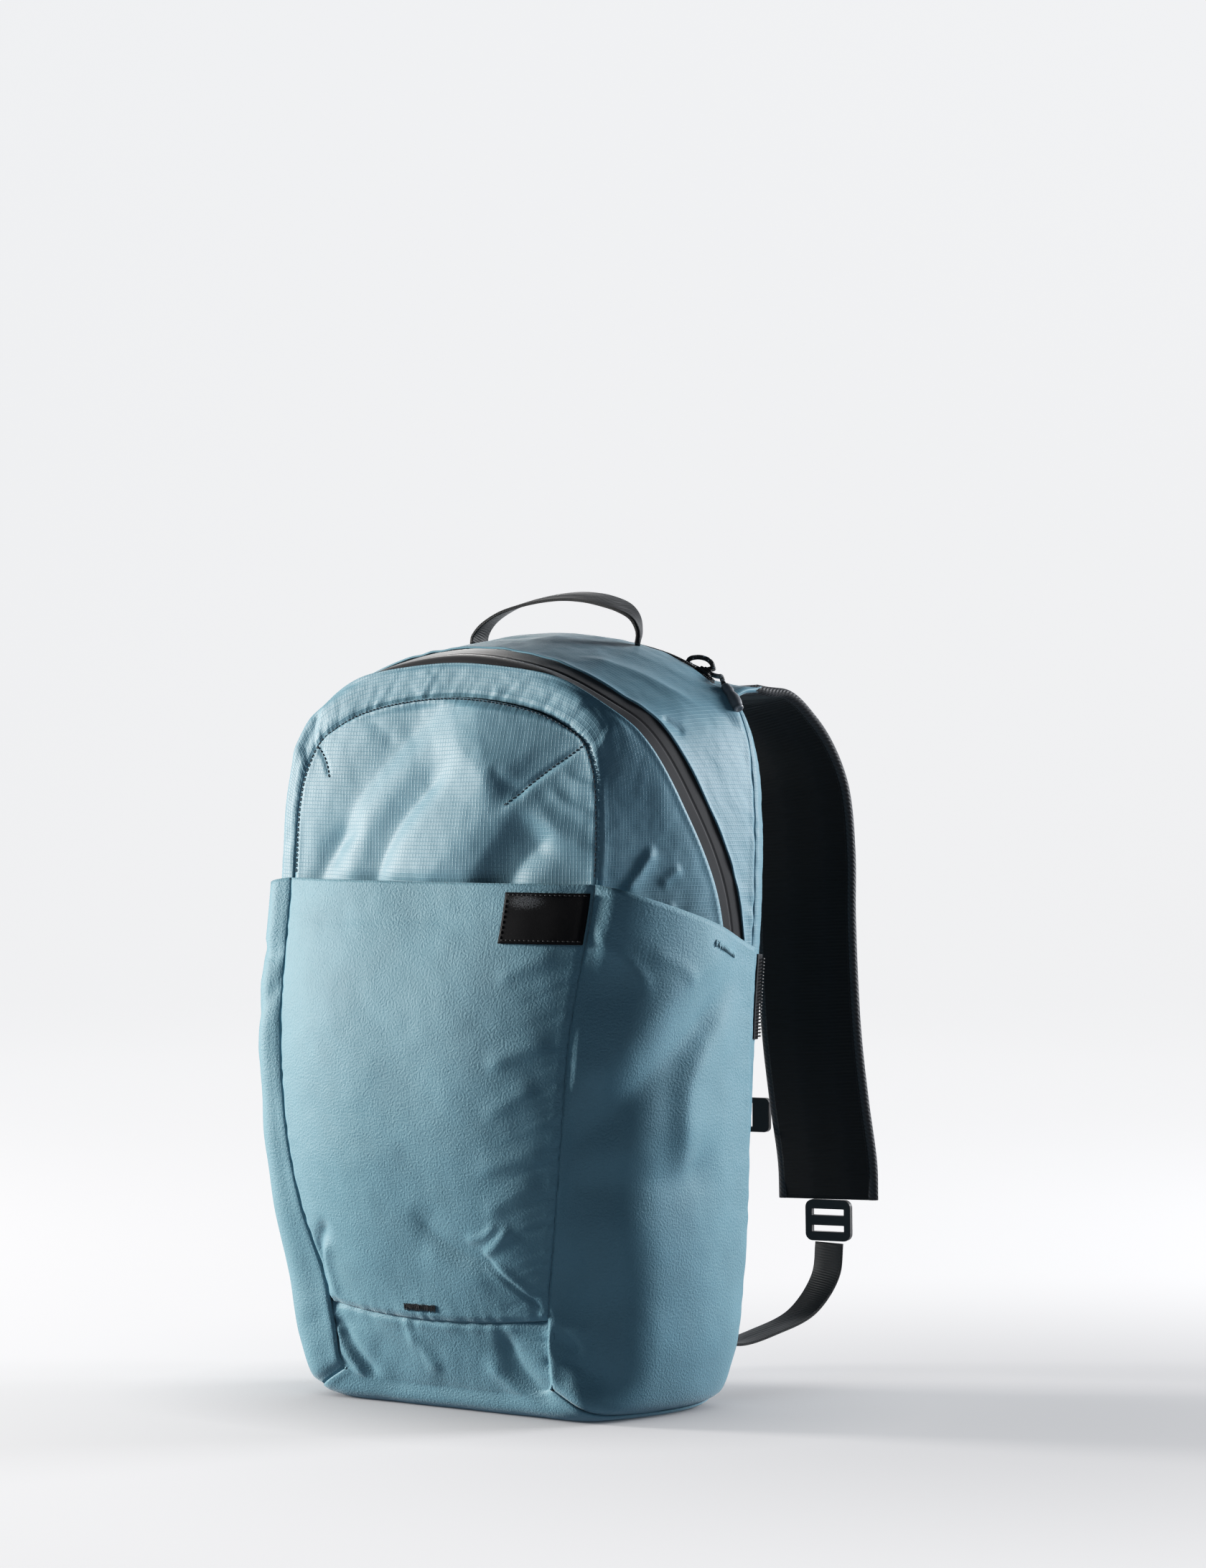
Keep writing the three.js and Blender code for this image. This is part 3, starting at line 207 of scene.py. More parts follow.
GUSSET_FOLDS = (
    (2.4, 2.2, 6, ((225, 18), (211, 30), (195, 42))),
    (1.5, 2.2, 4, ((219, 47), (208, 63))),
    (1.2, 2.2, 4, ((240, 50), (229, 62))),
    (-1.4, 9, 10, ((100, 18), (113, 14), (128, 15))),
    (0.8, 7, 7, ((96, 30), (118, 27), (140, 30))),
    (-1.5, 6, 7, ((-108, 16), (-118, 8), (-138, 3))),
    (0.9, 7, 7, ((-112, 22), (-128, 15), (-150, 12))),
    (0.5, 5, 8, ((-30, 3), (-18, 16))),
    (0.4, 5, 8, ((30, 3), (44, 17))),
)
REAR_FOLDS = (
    (2.6, 2, 7, ((104, 84), (118, 74), (139, 62))),
    (-0.9, 3, 4, ((126, 6), (138, 13))),
    (-1.6, 6, 6, ((120, 88), (132, 80), (146, 74))),
    (1.4, 6, 9, ((60, 20), (96, 34), (126, 40))),
    (-1.3, 8, 8, ((-70, 24), (-20, 40), (20, 42))),
)
SIDE_FOLDS = (
    (4.6, 17, 26, ((112, 268), (68, 248), (43, 227), (20, 203), (-6, 168))),
    (-4.0, 13, 13, ((112, 236), (70, 210), (50, 194), (28, 176), (0, 142))),
    (4.6, 24, 10, ((118, 240), (86, 205), (74, 184), (74, 160), (86, 130))),
    (-4.0, 20, 18, ((-10, 132), (57, 134), (120, 146))),
    (1.2, 2.4, 3.5, ((2, 279), (13, 263), (25, 253), (40, 236))),
    (0.9, 2.4, 3.5, ((30, 262), (54, 252), (70, 240))),
    (1.0, 5, 5, ((0, 62), (14, 54), (34, 50))),
    (-1.3, 4, 4, ((0, 50), (12, 45), (28, 40))),
    (1.1, 4, 5, ((0, 38), (14, 32), (30, 24))),
    (-1.0, 4, 4, ((2, 24), (16, 20))),
)
LEFT_MOUTH_FOLDS = (
    (-1.8, 2.5, 3, ((-3, 257), (10, 254), (26, 262), (48, 266))),
    (0.7, 5, 5, ((-2, 248), (14, 238), (32, 222))),
    (-0.8, 3, 3, ((-2, 240), (11, 226), (26, 206))),
    (0.4, 5, 6, ((-2, 226), (10, 212), (22, 188))),
)


def to_linear(hex_colour):
    """Linear red, green and blue of an sRGB hex value."""
    parts = [int(hex_colour[i:i + 2], 16) / 255 for i in (1, 3, 5)]
    return tuple(p / 12.92 if p <= 0.04045 else ((p + 0.055) / 1.055) ** 2.4 for p in parts)


class DaypackSizes(bpy.types.PropertyGroup):
    """Sizes that change how the cloth and the stitching look."""

    cloth: bpy.props.FloatProperty(
        name="Cloth", description="Thickness of the cloth", default=0.0011, unit="LENGTH")
    folds: bpy.props.FloatProperty(
        name="Folds", description="Depth of the folds, as a share of the real one's", default=1.0)
    crumple: bpy.props.FloatProperty(
        name="Crumple", description="Depth of the fine creases, as a share of the real one's", default=1.0)
    stitch: bpy.props.FloatProperty(
        name="Stitch", description="Length of one stitch", default=0.0021, unit="LENGTH")
    pitch: bpy.props.FloatProperty(
        name="Stitch pitch", description="Distance from stitch to stitch", default=0.0029, unit="LENGTH")
    thread: bpy.props.FloatProperty(
        name="Thread", description="Diameter of the sewing thread", default=0.0007, unit="LENGTH")


class DaypackColours(bpy.types.PropertyGroup):
    """Colours of the cloths and trims."""

    ripstop: bpy.props.FloatVectorProperty(
        name="Ripstop", description="Colour of the ripstop nylon", default=to_linear("#6A92A1"), subtype="COLOR")
    softshell: bpy.props.FloatVectorProperty(
        name="Softshell", description="Colour of the stretch softshell", default=to_linear("#6895A4"), subtype="COLOR")
    tape: bpy.props.FloatVectorProperty(
        name="Zip tape", description="Colour of the coated zip tape", default=to_linear("#1E1E22"), subtype="COLOR")
    webbing: bpy.props.FloatVectorProperty(
        name="Webbing", description="Colour of the webbing", default=to_linear("#151619"), subtype="COLOR")
    moulded: bpy.props.FloatVectorProperty(
        name="Moulded parts", description="Colour of the moulded parts", default=to_linear("#17181B"), subtype="COLOR")


def mix(start, end, share):
    return start + (end - start) * share


def smooth(value):
    value = np.clip(value, 0, 1)
    return value * value * (3 - 2 * value)


def unit(vectors):
    return vectors / np.maximum(np.linalg.norm(vectors, axis=-1, keepdims=True), 1e-9)


def column(table, key, at):
    """Smooth value of one column of a table at places that may lie between two rows."""
    values = np.array(table[key], float)
    last = len(values) - 1
    mirrored = table is OUTLINE and not key.endswith("X")
    before = values[1] if mirrored else 2 * values[0] - values[1]
    after = values[-2] if mirrored else 2 * values[-1] - values[-2]
    rows = np.concatenate([[before], values, [after]])
    place = np.clip(at, 0, last)
    row = np.minimum(np.floor(place).astype(int), last - 1)
    share = place - row
    p0, p1, p2, p3 = (rows[row + k] for k in range(4))
    bend = 2 * p0 - 5 * p1 + 4 * p2 - p3
    twist = 3 * (p1 - p2) + p3 - p0
    return p1 + 0.5 * share * (p2 - p0 + share * (bend + share * twist))


ROUNDING_ROWS = np.linspace(0, len(ROUNDING["at"]) - 1, 2801)
ROUNDING_AT = column(ROUNDING, "at", ROUNDING_ROWS)


def skin(station, depth, side):
    """Point of the body's skin: station round the outline, depth share and side -1 or 1."""
    row = np.interp(depth, ROUNDING_AT, ROUNDING_ROWS)
    top = smooth((station - SIDE) / (SHOULDER - SIDE))
    out = mix(column(ROUNDING, "sideOut", row), column(ROUNDING, "topOut", row), top)
    back = column(ROUNDING, "back", row)
    size = lambda key, full: column(OUTLINE, key, station) * full
    x = side * mix(size("frontX", HALF_WIDTH), size("wideX", HALF_WIDTH), out)
    y = mix(size("frontY", -FRONT_DEPTH), size("rearY", REAR_DEPTH), back)
    z = np.maximum(0, mix(size("frontZ", BODY_HEIGHT), size("wideZ", BODY_HEIGHT), out))
    return np.stack(np.broadcast_arrays(x, y, z), -1)


def ring_point(position, depth):
    """Ring position runs from -1 (left bottom centre) over the top (0) to 1 (right bottom centre)."""
    return skin(TOP * (1 - np.abs(position)), depth, np.where(position < 0, -1.0, 1.0))


STATIONS = np.linspace(CORNER, TOP, 4401)
STATION_HEIGHTS = column(OUTLINE, "frontZ", STATIONS) * BODY_HEIGHT


def station_at(height):
    return np.interp(height, STATION_HEIGHTS, STATIONS)


HEM = float(station_at(HEM_HEIGHT))
BASE = float(station_at(BASE_SEAM_HEIGHT))
ZIP_END = float(station_at(ZIP_END_HEIGHT))
RING_END = 1 - ZIP_END / TOP


def length_of(points):
    """Distance run at each point of a line."""
    return np.concatenate([[0], np.cumsum(np.linalg.norm(np.diff(points, axis=0), axis=1))])


RING_PLACES = np.linspace(-1, 1, 1601)
RING_LENGTHS = length_of(ring_point(RING_PLACES, 0.3))
RING_LENGTHS = RING_LENGTHS - np.interp(0, RING_PLACES, RING_LENGTHS)


def depth_step(position, depth, distance):
    """Share of the depth that a distance along the skin takes."""
    small = 0.01
    gap = ring_point(position, depth + small) - ring_point(position, depth - small)
    return distance * 2 * small / np.linalg.norm(gap, axis=-1)


def rear_seam(position):
    return 1 - depth_step(position, REAR_CORNER, REAR_SEAM_WIDTH)


def zip_middle(position):
    return column(OUTLINE, "zip", TOP * (1 - np.abs(position)))


def zip_edge(position, side):
    """Edge of the main zip: the tape keeps its width square to the way it runs."""
    small = 0.004
    place = ring_point(position, zip_middle(position))
    along = unit(ring_point(position + small, zip_middle(position + small)) - place)
    deeper = ring_point(position, zip_middle(position) + small) - place
    square = np.linalg.norm(np.cross(deeper, along), axis=-1) / small
    return zip_middle(position) + side * MAIN_ZIP_WIDTH / 2 / square


ARCH_PLACES = np.linspace(SHOULDER, TOP, 801)


def closure(depth, share, station, bulge):
    """Panel that closes an outline: level rows up to the hem, then rows that rise into the arch."""
    near = np.abs(share)
    row = skin(station, depth, 1.0)
    shoulder = skin(float(SHOULDER), depth, 1.0)
    rise = np.maximum(0, (station - HEM) / (SHOULDER - HEM)) ** 2
    widths = skin(ARCH_PLACES, depth, 1.0)[:, 0]
    arch = skin(np.interp(-near * shoulder[0], -widths, ARCH_PLACES), depth, 1.0)
    side = np.where(share < 0, -1.0, 1.0)
    y = row[..., 1] + rise * (arch[..., 1] - shoulder[1]) + bulge * (1 - near ** 2)
    z = row[..., 2] + rise * (arch[..., 2] - shoulder[2])
    return np.stack([side * near * row[..., 0], y, z], -1)


def seam_sag(share, station):
    return -BASE_SEAM_SAG * (1 - share ** 2) * np.maximum(0, 1 - (station - BASE) / 1.5)


def front_surface(share, station):
    bulge = -column(OUTLINE, "bulge", station) * PANEL_BULGE
    point = closure(0.0, share, station, bulge)
    point[..., 2] += seam_sag(share, station)
    return point


def station_step(station, distance):
    small = 0.05
    gap = skin(station + small, 0.0, 1.0) - skin(station - small, 0.0, 1.0)
    return distance * 2 * small / np.linalg.norm(gap, axis=-1)


def side_point(station, share, side):
    """Point of a side at a share of the way from the front seam to the rear seam."""
    position = side * (1 - station / TOP)
    return ring_point(position, rear_seam(position) * share)


def core_line(point):
    """Nearest place on the line up the middle of the body, which tells inside from outside."""
    low, high = 0.14 * BODY_HEIGHT, 0.73 * BODY_HEIGHT
    return np.stack([0 * point[..., 0], 0 * point[..., 1], np.clip(point[..., 2], low, high)], -1)


def dressed(base, relief, core=core_line):
    """Surface with its relief on it: gives points for two parameters and a lift off the cloth."""
    step = 1e-3

    def at(u, v, lift=0.0, with_normal=False):
        u, v = np.broadcast_arrays(np.asarray(u, float), np.asarray(v, float))
        point = base(u, v)
        across = base(u + step, v) - base(u - step, v)
        along = base(u, v + step) - base(u, v - step)
        normal = unit(np.cross(across, along))
        inwards = np.sum(normal * (point - core(point)), -1) < 0
        normal = np.where(inwards[..., None], -normal, normal)
        raised = point + normal * (relief(u, v, point) + lift)[..., None]
        return (raised, normal) if with_normal else raised

    return at


def fold_height(u, v, folds, crisp):
    """Height of all folds of a table at places on the cloth: round, or creased where crisp is near 1."""
    total = np.zeros(np.broadcast(u, v).shape)
    for height, left, right, points in folds:
        line = spline(np.array([(*p, 0.0) for p in points]), 6 * len(points))[0][:, :2]
        runs = length_of(line)
        best = np.full(total.shape, 1e9)
        place = np.zeros(total.shape)
        aside = np.zeros(total.shape)
        for index in range(len(line) - 1):
            start, way = line[index], line[index + 1] - line[index]
            size = way @ way
            share = np.clip(((u - start[0]) * way[0] + (v - start[1]) * way[1]) / size, 0, 1)
            off_u = u - start[0] - share * way[0]
            off_v = v - start[1] - share * way[1]
            distance = np.hypot(off_u, off_v)
            nearer = distance < best
            best = np.where(nearer, distance, best)
            aside = np.where(nearer, (way[0] * off_v - way[1] * off_u) / math.sqrt(size), aside)
            place = np.where(nearer, (runs[index] + share * math.sqrt(size)) / runs[-1], place)
        best = best / mix(right, left, smooth(0.5 + 0.5 * aside / np.maximum(best, 1e-6)))
        blunt = 1.5 / min(left, right)
        creased = np.exp(-1.5 * (np.sqrt(best ** 2 + blunt ** 2) - blunt))
        profile = mix(np.exp(-best ** 2), creased * smooth((3.2 - best) / 2), crisp)
        total += height * profile * smooth(place * 4) * smooth((1 - place) * 4)
    return total


def crumple(u, v, seed, length, height, sharp):
    """Seeded creases: crossing waves, drawn to crests where sharp is near 1."""
    random = np.random.default_rng(seed)
    total = 0
    for octave in range(3):
        size = length / 2 ** octave
        for _ in range(4):
            angle, phase, bend = random.uniform(0, 2 * math.pi, 3)
            stretch = random.uniform(0.7, 1.4)
            run = (u * math.cos(angle) + v * math.sin(angle)) / (size * stretch)
            cross = (v * math.cos(angle) - u * math.sin(angle)) / (size * 1.8)
            wave = np.sin(2 * math.pi * run + phase + 1.3 * np.sin(2 * math.pi * cross + bend))
            crest = 0.6 - 1.6 * np.abs(wave) ** 0.8
            total = total + mix(wave, crest, sharp) / 2 ** (octave * 0.9)
    return total * height / 3


def puckers(along, away, period, reach, height, seed):
    """Gathers that run off a seam and fade out."""
    random = np.random.default_rng(seed)
    first, second, third = random.uniform(0, 2 * math.pi, 3)
    slow = np.sin(along * 2 * math.pi / (period * 3.3) + first)
    wave = np.sin(along * 2 * math.pi / period + 1.5 * slow + second)
    size = 0.65 + 0.35 * np.sin(along * 2 * math.pi / (period * 2.1) + third)
    span = reach * (0.8 + 0.4 * np.sin(along * 2 * math.pi / (period * 1.6) + first + third))
    return height * wave * size * np.exp(-(np.maximum(away, 0) / span) ** 1.3)


def seam_roll(away, dip, roll):
    """Cloth turned in at a seam, with the roll beside it."""
    return -dip * np.exp(-(away / 1.5) ** 2) + roll * np.exp(-((away - 3.6) / 2.4) ** 2)


def spline(points, count):
    """Smooth curve through points, evenly spaced: places and directions."""
    ends = [2 * points[0] - points[1], *points, 2 * points[-1] - points[-2]]
    dense = []
    for p0, p1, p2, p3 in zip(ends, ends[1:], ends[2:], ends[3:]):
        d0, d1, d2 = (max(np.linalg.norm(b - a), 1e-6) ** 0.5 for a, b in ((p0, p1), (p1, p2), (p2, p3)))
        t1 = ((p1 - p0) / d0 - (p2 - p0) / (d0 + d1) + (p2 - p1) / d1) * d1
        t2 = ((p2 - p1) / d1 - (p3 - p1) / (d1 + d2) + (p3 - p2) / d2) * d1
        share = np.linspace(0, 1, 24, endpoint=False)[:, None]
        dense.append(p1 + t1 * share + (3 * (p2 - p1) - 2 * t1 - t2) * share ** 2
                     + (2 * (p1 - p2) + t1 + t2) * share ** 3)
    line = np.concatenate([*dense, points[-1:]])
    runs = length_of(line)
    even = np.linspace(0, runs[-1], count)
    places = np.stack([np.interp(even, runs, line[:, axis]) for axis in range(3)], -1)
    return places, unit(np.gradient(places, axis=0))


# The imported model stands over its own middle, straps included; its rear band says how far it moved
REAR_BAND_REACH = 63.86
SHIFT = REAR_BAND_REACH - 1000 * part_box("rear_band")[1].y


def to_frame(points):
    """Millimetres of the body to metres of the frame."""
    return (np.asarray(points) - np.array([0, SHIFT, 0])) / 1000


def new_mesh(name, points, faces, weave, finish, rounded=True):
    """Object from points in millimetres, faces, and places on the cloth for its weave."""
    mesh = bpy.data.meshes.new(name)
    mesh.from_pydata(to_frame(points).tolist(), [], faces.tolist() if hasattr(faces, "tolist") else faces)
    mesh.update()
    if weave is not None:
        layer = mesh.attributes.new("weave", "FLOAT_VECTOR", "POINT")
        flat = np.concatenate([weave, np.zeros((len(weave), 1))], 1)
        layer.data.foreach_set("vector", flat.astype(np.float32).ravel())
    mesh.polygons.foreach_set("use_smooth", [rounded] * len(mesh.polygons))
    mesh.materials.append(finish)
    made = bpy.data.objects.new(name, mesh)
    bpy.context.scene.collection.objects.link(made)
    return made


def seat_piece(piece, nodes=()):
    """The piece rides on the pack and stands for its nodes."""
    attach(piece, "root")
    if nodes:
        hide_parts(*nodes)
    return piece


def grid_faces(rows, columns, closed=False):
    index = np.arange(rows * columns).reshape(rows, columns)
    if closed:
        index = np.concatenate([index, index[:, :1]], 1)
    corners = (index[:-1, :-1], index[:-1, 1:], index[1:, 1:], index[1:, :-1])
    return np.stack(corners, -1).reshape(-1, 4)


def cloth(name, surface, us, vs, weave, finish, slot, nodes, thickness=None):
    """Piece of cloth over a grid of two parameters, thickened inwards."""
    u, v = np.meshgrid(us, vs)
    points, normals = surface(u, v, with_normal=True)
    places = weave(u, v).reshape(-1, 2)
    faces = grid_faces(*u.shape)
    across = np.diff(points, axis=1)[:-1]
    along = np.diff(points, axis=0)[:, :-1]
    if np.sum(np.cross(across, along) * normals[:-1, :-1]) < 0:
        faces = faces[:, ::-1]
    piece = new_mesh(name, points.reshape(-1, 3), faces, places, finish)
    shell = piece.modifiers.new("Cloth", "SOLIDIFY")
    shell.thickness = thickness or bpy.context.scene.daypack_sizes.cloth
    shell.offset = -1
    shell.use_rim = True
    return seat_piece(piece, nodes)


def sweep(name, centres, across, lift, section, finish, nodes, scale=None):
    """Closed section swept along frames, with closed ends."""
    section = np.array(section, float)
    sizes = np.ones((len(centres), 2)) if scale is None else np.array(scale, float)
    rings = (centres[:, None] + across[:, None] * (section[:, 0] * sizes[:, :1])[..., None]
             + lift[:, None] * (section[:, 1] * sizes[:, 1:])[..., None])
    count = len(section)
    faces = grid_faces(len(centres), count, closed=True).tolist()
    faces += [list(range(count))[::-1], [(len(centres) - 1) * count + i for i in range(count)]]
    around = np.linspace(0, length_of(np.concatenate([section, section[:1]]))[-1], count, endpoint=False)
    run = length_of(centres)
    places = np.stack(np.broadcast_arrays(run[:, None], around[None, :]), -1).reshape(-1, 2)
    points = rings.reshape(-1, 3)
    piece = new_mesh(name, points, faces, places, finish)
    turn_outwards(piece)
    return seat_piece(piece, nodes)


def turn_outwards(piece):
    """Faces of a closed piece turned to face out."""
    mesh = piece.data
    mesh.calc_loop_triangles()
    co = np.array([v.co for v in mesh.vertices])
    tri = np.array([t.vertices for t in mesh.loop_triangles])
    if np.sum(co[tri[:, 0]] * np.cross(co[tri[:, 1]], co[tri[:, 2]])) < 0:
        mesh.flip_normals()


def rounded_section(width, thickness, corner, steps=5):
    """Rectangle with round corners."""
    corner = min(corner, thickness / 2 * 0.98, width / 2 * 0.98)
    points = []
    for quarter, (sx, sy) in enumerate(((1, 1), (-1, 1), (-1, -1), (1, -1))):
        for angle in np.linspace(quarter, quarter + 1, steps) * math.pi / 2:
            x = sx * (width / 2 - corner) + corner * math.cos(angle)
            y = sy * (thickness / 2 - corner) + corner * math.sin(angle)
            points.append((x, y))
    return points


def strands(name, lines, lifts, radius, sides, finish):
    """Many thin threads as one piece, each a line of points with the direction off the cloth."""
    points, faces = [], []
    for line, off in zip(lines, lifts):
        along = unit(np.gradient(line, axis=0))
        across = unit(np.cross(along, off))
        up = np.cross(across, along)
        start = len(points)
        for index, place in enumerate(line):
            ring = radius * (0.45 if index in (0, len(line) - 1) else 1.0)
            for turn in range(sides):
                angle = 2 * math.pi * turn / sides
                points.append(place + ring * (math.cos(angle) * across[index] + math.sin(angle) * up[index]))
        faces += (grid_faces(len(line), sides, closed=True) + start).tolist()
        faces += [[start + i for i in range(sides)][::-1],
                  [start + (len(line) - 1) * sides + i for i in range(sides)]]
    piece = new_mesh(name, np.array(points), faces, None, finish)
    turn_outwards(piece)
    return seat_piece(piece)


def stitch_row(surface, us, vs, lift=0.1, gap_at=None):
    """Stitches along a dense line of parameters on a cloth: lines of points and lifts."""
    sizes = bpy.context.scene.daypack_sizes
    stitch, pitch = 1000 * sizes.stitch, 1000 * sizes.pitch
    points, normals = surface(us, vs, lift=lift, with_normal=True)
    runs = length_of(points)
    lines, lifts = [], []
    for start in np.arange(0.4, runs[-1] - stitch, pitch):
        at = start + stitch * np.array([0, 0.25, 0.5, 0.75, 1])
        rise = np.array([-0.35, 0.05, 0.15, 0.05, -0.35])[:, None]
        off = np.stack([np.interp(at, runs, normals[:, axis]) for axis in range(3)], -1)
        line = np.stack([np.interp(at, runs, points[:, axis]) for axis in range(3)], -1)
        lines.append(line + off * rise)
        lifts.append(off)
    return lines, lifts


def node(tree, kind, settings=None, links=None):
    """Adds a shader node with its settings and links."""
    made = tree.nodes.new("ShaderNode" + kind)
    for key, value in (settings or {}).items():
        if isinstance(key, str) and hasattr(made, key):
            setattr(made, key, value)
        else:
            made.inputs[key].default_value = value
    for key, source in (links or {}).items():
        tree.links.new(source, made.inputs[key])
    return made


def shaded(name, colour, settings):
    """Material with one shader: returns it with its tree and shader."""
    made = bpy.data.materials.new(name)
    made.use_nodes = True
    tree = made.node_tree
    tree.nodes.clear()
    shader = node(tree, "BsdfPrincipled", {"Base Color": (*colour, 1), **settings})
    node(tree, "OutputMaterial", links={"Surface": shader.outputs[0]})
    return made, tree, shader


def tint(tree, shader, colour, strength, amount):
    """Colour that drifts between a darker and a lighter tone of itself."""
    low = (*(c * (1 - strength) for c in colour), 1)
    high = (*(min(1, c * (1 + strength)) for c in colour), 1)
    mixed = node(tree, "Mix", {"data_type": "RGBA", 6: low, 7: high}, {0: amount})
    tree.links.new(mixed.outputs[2], shader.inputs["Base Color"])
    return mixed


def emboss(tree, shader, height, depth, strength=1.0):
    bump = node(tree, "Bump", {"Distance": depth, "Strength": strength}, {"Height": height})
    tree.links.new(bump.outputs[0], shader.inputs["Normal"])


def cloth_places(tree):
    return node(tree, "Attribute", {"attribute_name": "weave"}).outputs["Vector"]


def ripstop_nylon(colour):
    """Ripstop nylon, woven with a thicker thread every 1.1 mm: a fine square grid and a silky sheen."""
    made, tree, shader = shaded("Ripstop nylon, woven", colour, {
        "Roughness": 0.52, "Sheen Weight": 0.2, "Sheen Roughness": 0.4, "Specular IOR Level": 0.35})
    places = cloth_places(tree)
    # The grid is drawn at twice the real 1.1 mm, so that it shows
    grid = node(tree, "TexBrick", {
        "offset": 0.0, "Scale": 1.0, "Brick Width": 2.2, "Row Height": 2.2, "Mortar Size": 0.32,
        "Mortar Smooth": 1.0}, {"Vector": places})
    cloudy = node(tree, "TexNoise", {"Scale": 0.02, "Detail": 3.0}, {"Vector": places})
    grain = node(tree, "TexNoise", {"Scale": 1.6, "Detail": 2.0}, {"Vector": places})
    both = node(tree, "Math", {"operation": "MULTIPLY_ADD", 1: 0.35}, {0: grid.outputs["Fac"], 2: cloudy.outputs["Fac"]})
    tint(tree, shader, colour, 0.16, both.outputs[0])
    raised = node(tree, "Math", {"operation": "MULTIPLY_ADD", 1: 0.6}, {0: grain.outputs["Fac"], 2: grid.outputs["Fac"]})
    emboss(tree, shader, raised.outputs[0], 0.00012, 0.6)
    return made


def stretch_softshell(colour):
    """Stretch softshell, knitted with a crepe face: matt, with a pebbled grain that catches the light."""
    made, tree, shader = shaded("Stretch softshell, crepe knit", colour, {
        "Roughness": 0.6, "Sheen Weight": 0.35, "Sheen Roughness": 0.45, "Specular IOR Level": 0.4})
    places = cloth_places(tree)
    grain = node(tree, "TexNoise", {"Scale": 0.75, "Detail": 3.0, "Roughness": 0.6}, {"Vector": places})
    cloudy = node(tree, "TexNoise", {"Scale": 0.03, "Detail": 2.0}, {"Vector": places})
    both = node(tree, "Math", {"operation": "MULTIPLY_ADD", 1: 0.5}, {0: grain.outputs["Fac"], 2: cloudy.outputs["Fac"]})
    lowered = node(tree, "Math", {"operation": "SUBTRACT", 1: 0.25}, {0: both.outputs[0]})
    tint(tree, shader, colour, 0.14, lowered.outputs[0])
    emboss(tree, shader, grain.outputs["Fac"], 0.0006, 0.85)
    return made


def coated_tape(colour):
    """Polyurethane-coated zip tape, calendered: a smooth satin black that greys where it faces the light."""
    made, tree, shader = shaded("PU-coated zip tape, calendered", colour, {
        "Roughness": 0.66, "Specular IOR Level": 0.16, "Sheen Weight": 0.72, "Sheen Roughness": 0.35})
    places = cloth_places(tree)
    grain = node(tree, "TexNoise", {"Scale": 2.2, "Detail": 2.0}, {"Vector": places})
    tint(tree, shader, colour, 0.12, grain.outputs["Fac"])
    emboss(tree, shader, grain.outputs["Fac"], 0.00008, 0.6)
    return made


def woven_webbing(name, colour, period, slope):
    """Polyester webbing, twill woven: diagonal ribs that show as fine grey lines in the light."""
    made, tree, shader = shaded(name, colour, {
        "Roughness": 0.62, "Sheen Weight": 0.15, "Sheen Roughness": 0.4, "Specular IOR Level": 0.4})
    split = node(tree, "SeparateXYZ", links={0: cloth_places(tree)})
    slant = node(tree, "Math", {"operation": "MULTIPLY_ADD", 1: slope}, {0: split.outputs[0], 2: split.outputs[1]})
    rib = node(tree, "Math", {"operation": "PINGPONG", 1: period / 2}, {0: slant.outputs[0]})
    across = node(tree, "Math", {"operation": "PINGPONG", 1: period / 2}, {0: split.outputs[0]})
    both = node(tree, "Math", {"operation": "MULTIPLY_ADD", 1: 0.6}, {0: across.outputs[0], 2: rib.outputs[0]})
    level = node(tree, "Math", {"operation": "MULTIPLY", 1: 1.3 / period}, {0: both.outputs[0]})
    tint(tree, shader, colour, 0.75, level.outputs[0])
    emboss(tree, shader, level.outputs[0], 0.0003, 0.9)
    return made


def spacer_mesh(colour):
    """Spacer mesh, knitted: open cells, near black, with pale yarn dots where it catches the light."""
    made, tree, shader = shaded("Polyester spacer mesh, knitted", colour, {
        "Roughness": 0.85, "Sheen Weight": 0.25, "Specular IOR Level": 0.3})
    cells = node(tree, "TexVoronoi", {"Scale": 0.5, "Randomness": 0.25}, {"Vector": cloth_places(tree)})
    tint(tree, shader, colour, 0.8, cells.outputs["Distance"])
    emboss(tree, shader, cells.outputs["Distance"], 0.0006, 0.8)
    return made


def moulded_acetal(name, colour, roughness):
    """Acetal, injection moulded: satin black with the faint grain of its mould."""
    made, tree, shader = shaded(name, colour, {"Roughness": roughness, "IOR": 1.48, "Specular IOR Level": 0.5})
    where = node(tree, "TexCoord").outputs["Object"]
    grain = node(tree, "TexNoise", {"Scale": 1400.0, "Detail": 2.0}, {"Vector": where})
    cloudy = node(tree, "TexNoise", {"Scale": 90.0, "Detail": 2.0}, {"Vector": where})
    tint(tree, shader, colour, 0.25, cloudy.outputs["Fac"])
    emboss(tree, shader, grain.outputs["Fac"], 0.00006, 0.6)
    return made


def braided_cord(colour):
    """Polyester cord, braided: black with small pale flecks of reflective yarn."""
    made, tree, shader = shaded("Polyester cord, braided", colour, {"Roughness": 0.6, "Sheen Weight": 0.3})
    where = node(tree, "TexCoord").outputs["Object"]
    cells = node(tree, "TexVoronoi", {"Scale": 900.0}, {"Vector": where})
    fleck = node(tree, "Math", {"operation": "GREATER_THAN", 1: 0.8}, {0: cells.outputs["Color"]})
    pale = (*to_linear("#C9CCD0"), 1)
    mixed = node(tree, "Mix", {"data_type": "RGBA", 6: (*colour, 1), 7: pale}, {0: fleck.outputs[0]})
    tree.links.new(mixed.outputs[2], shader.inputs["Base Color"])
    emboss(tree, shader, cells.outputs["Distance"], 0.0004, 0.8)
    return made


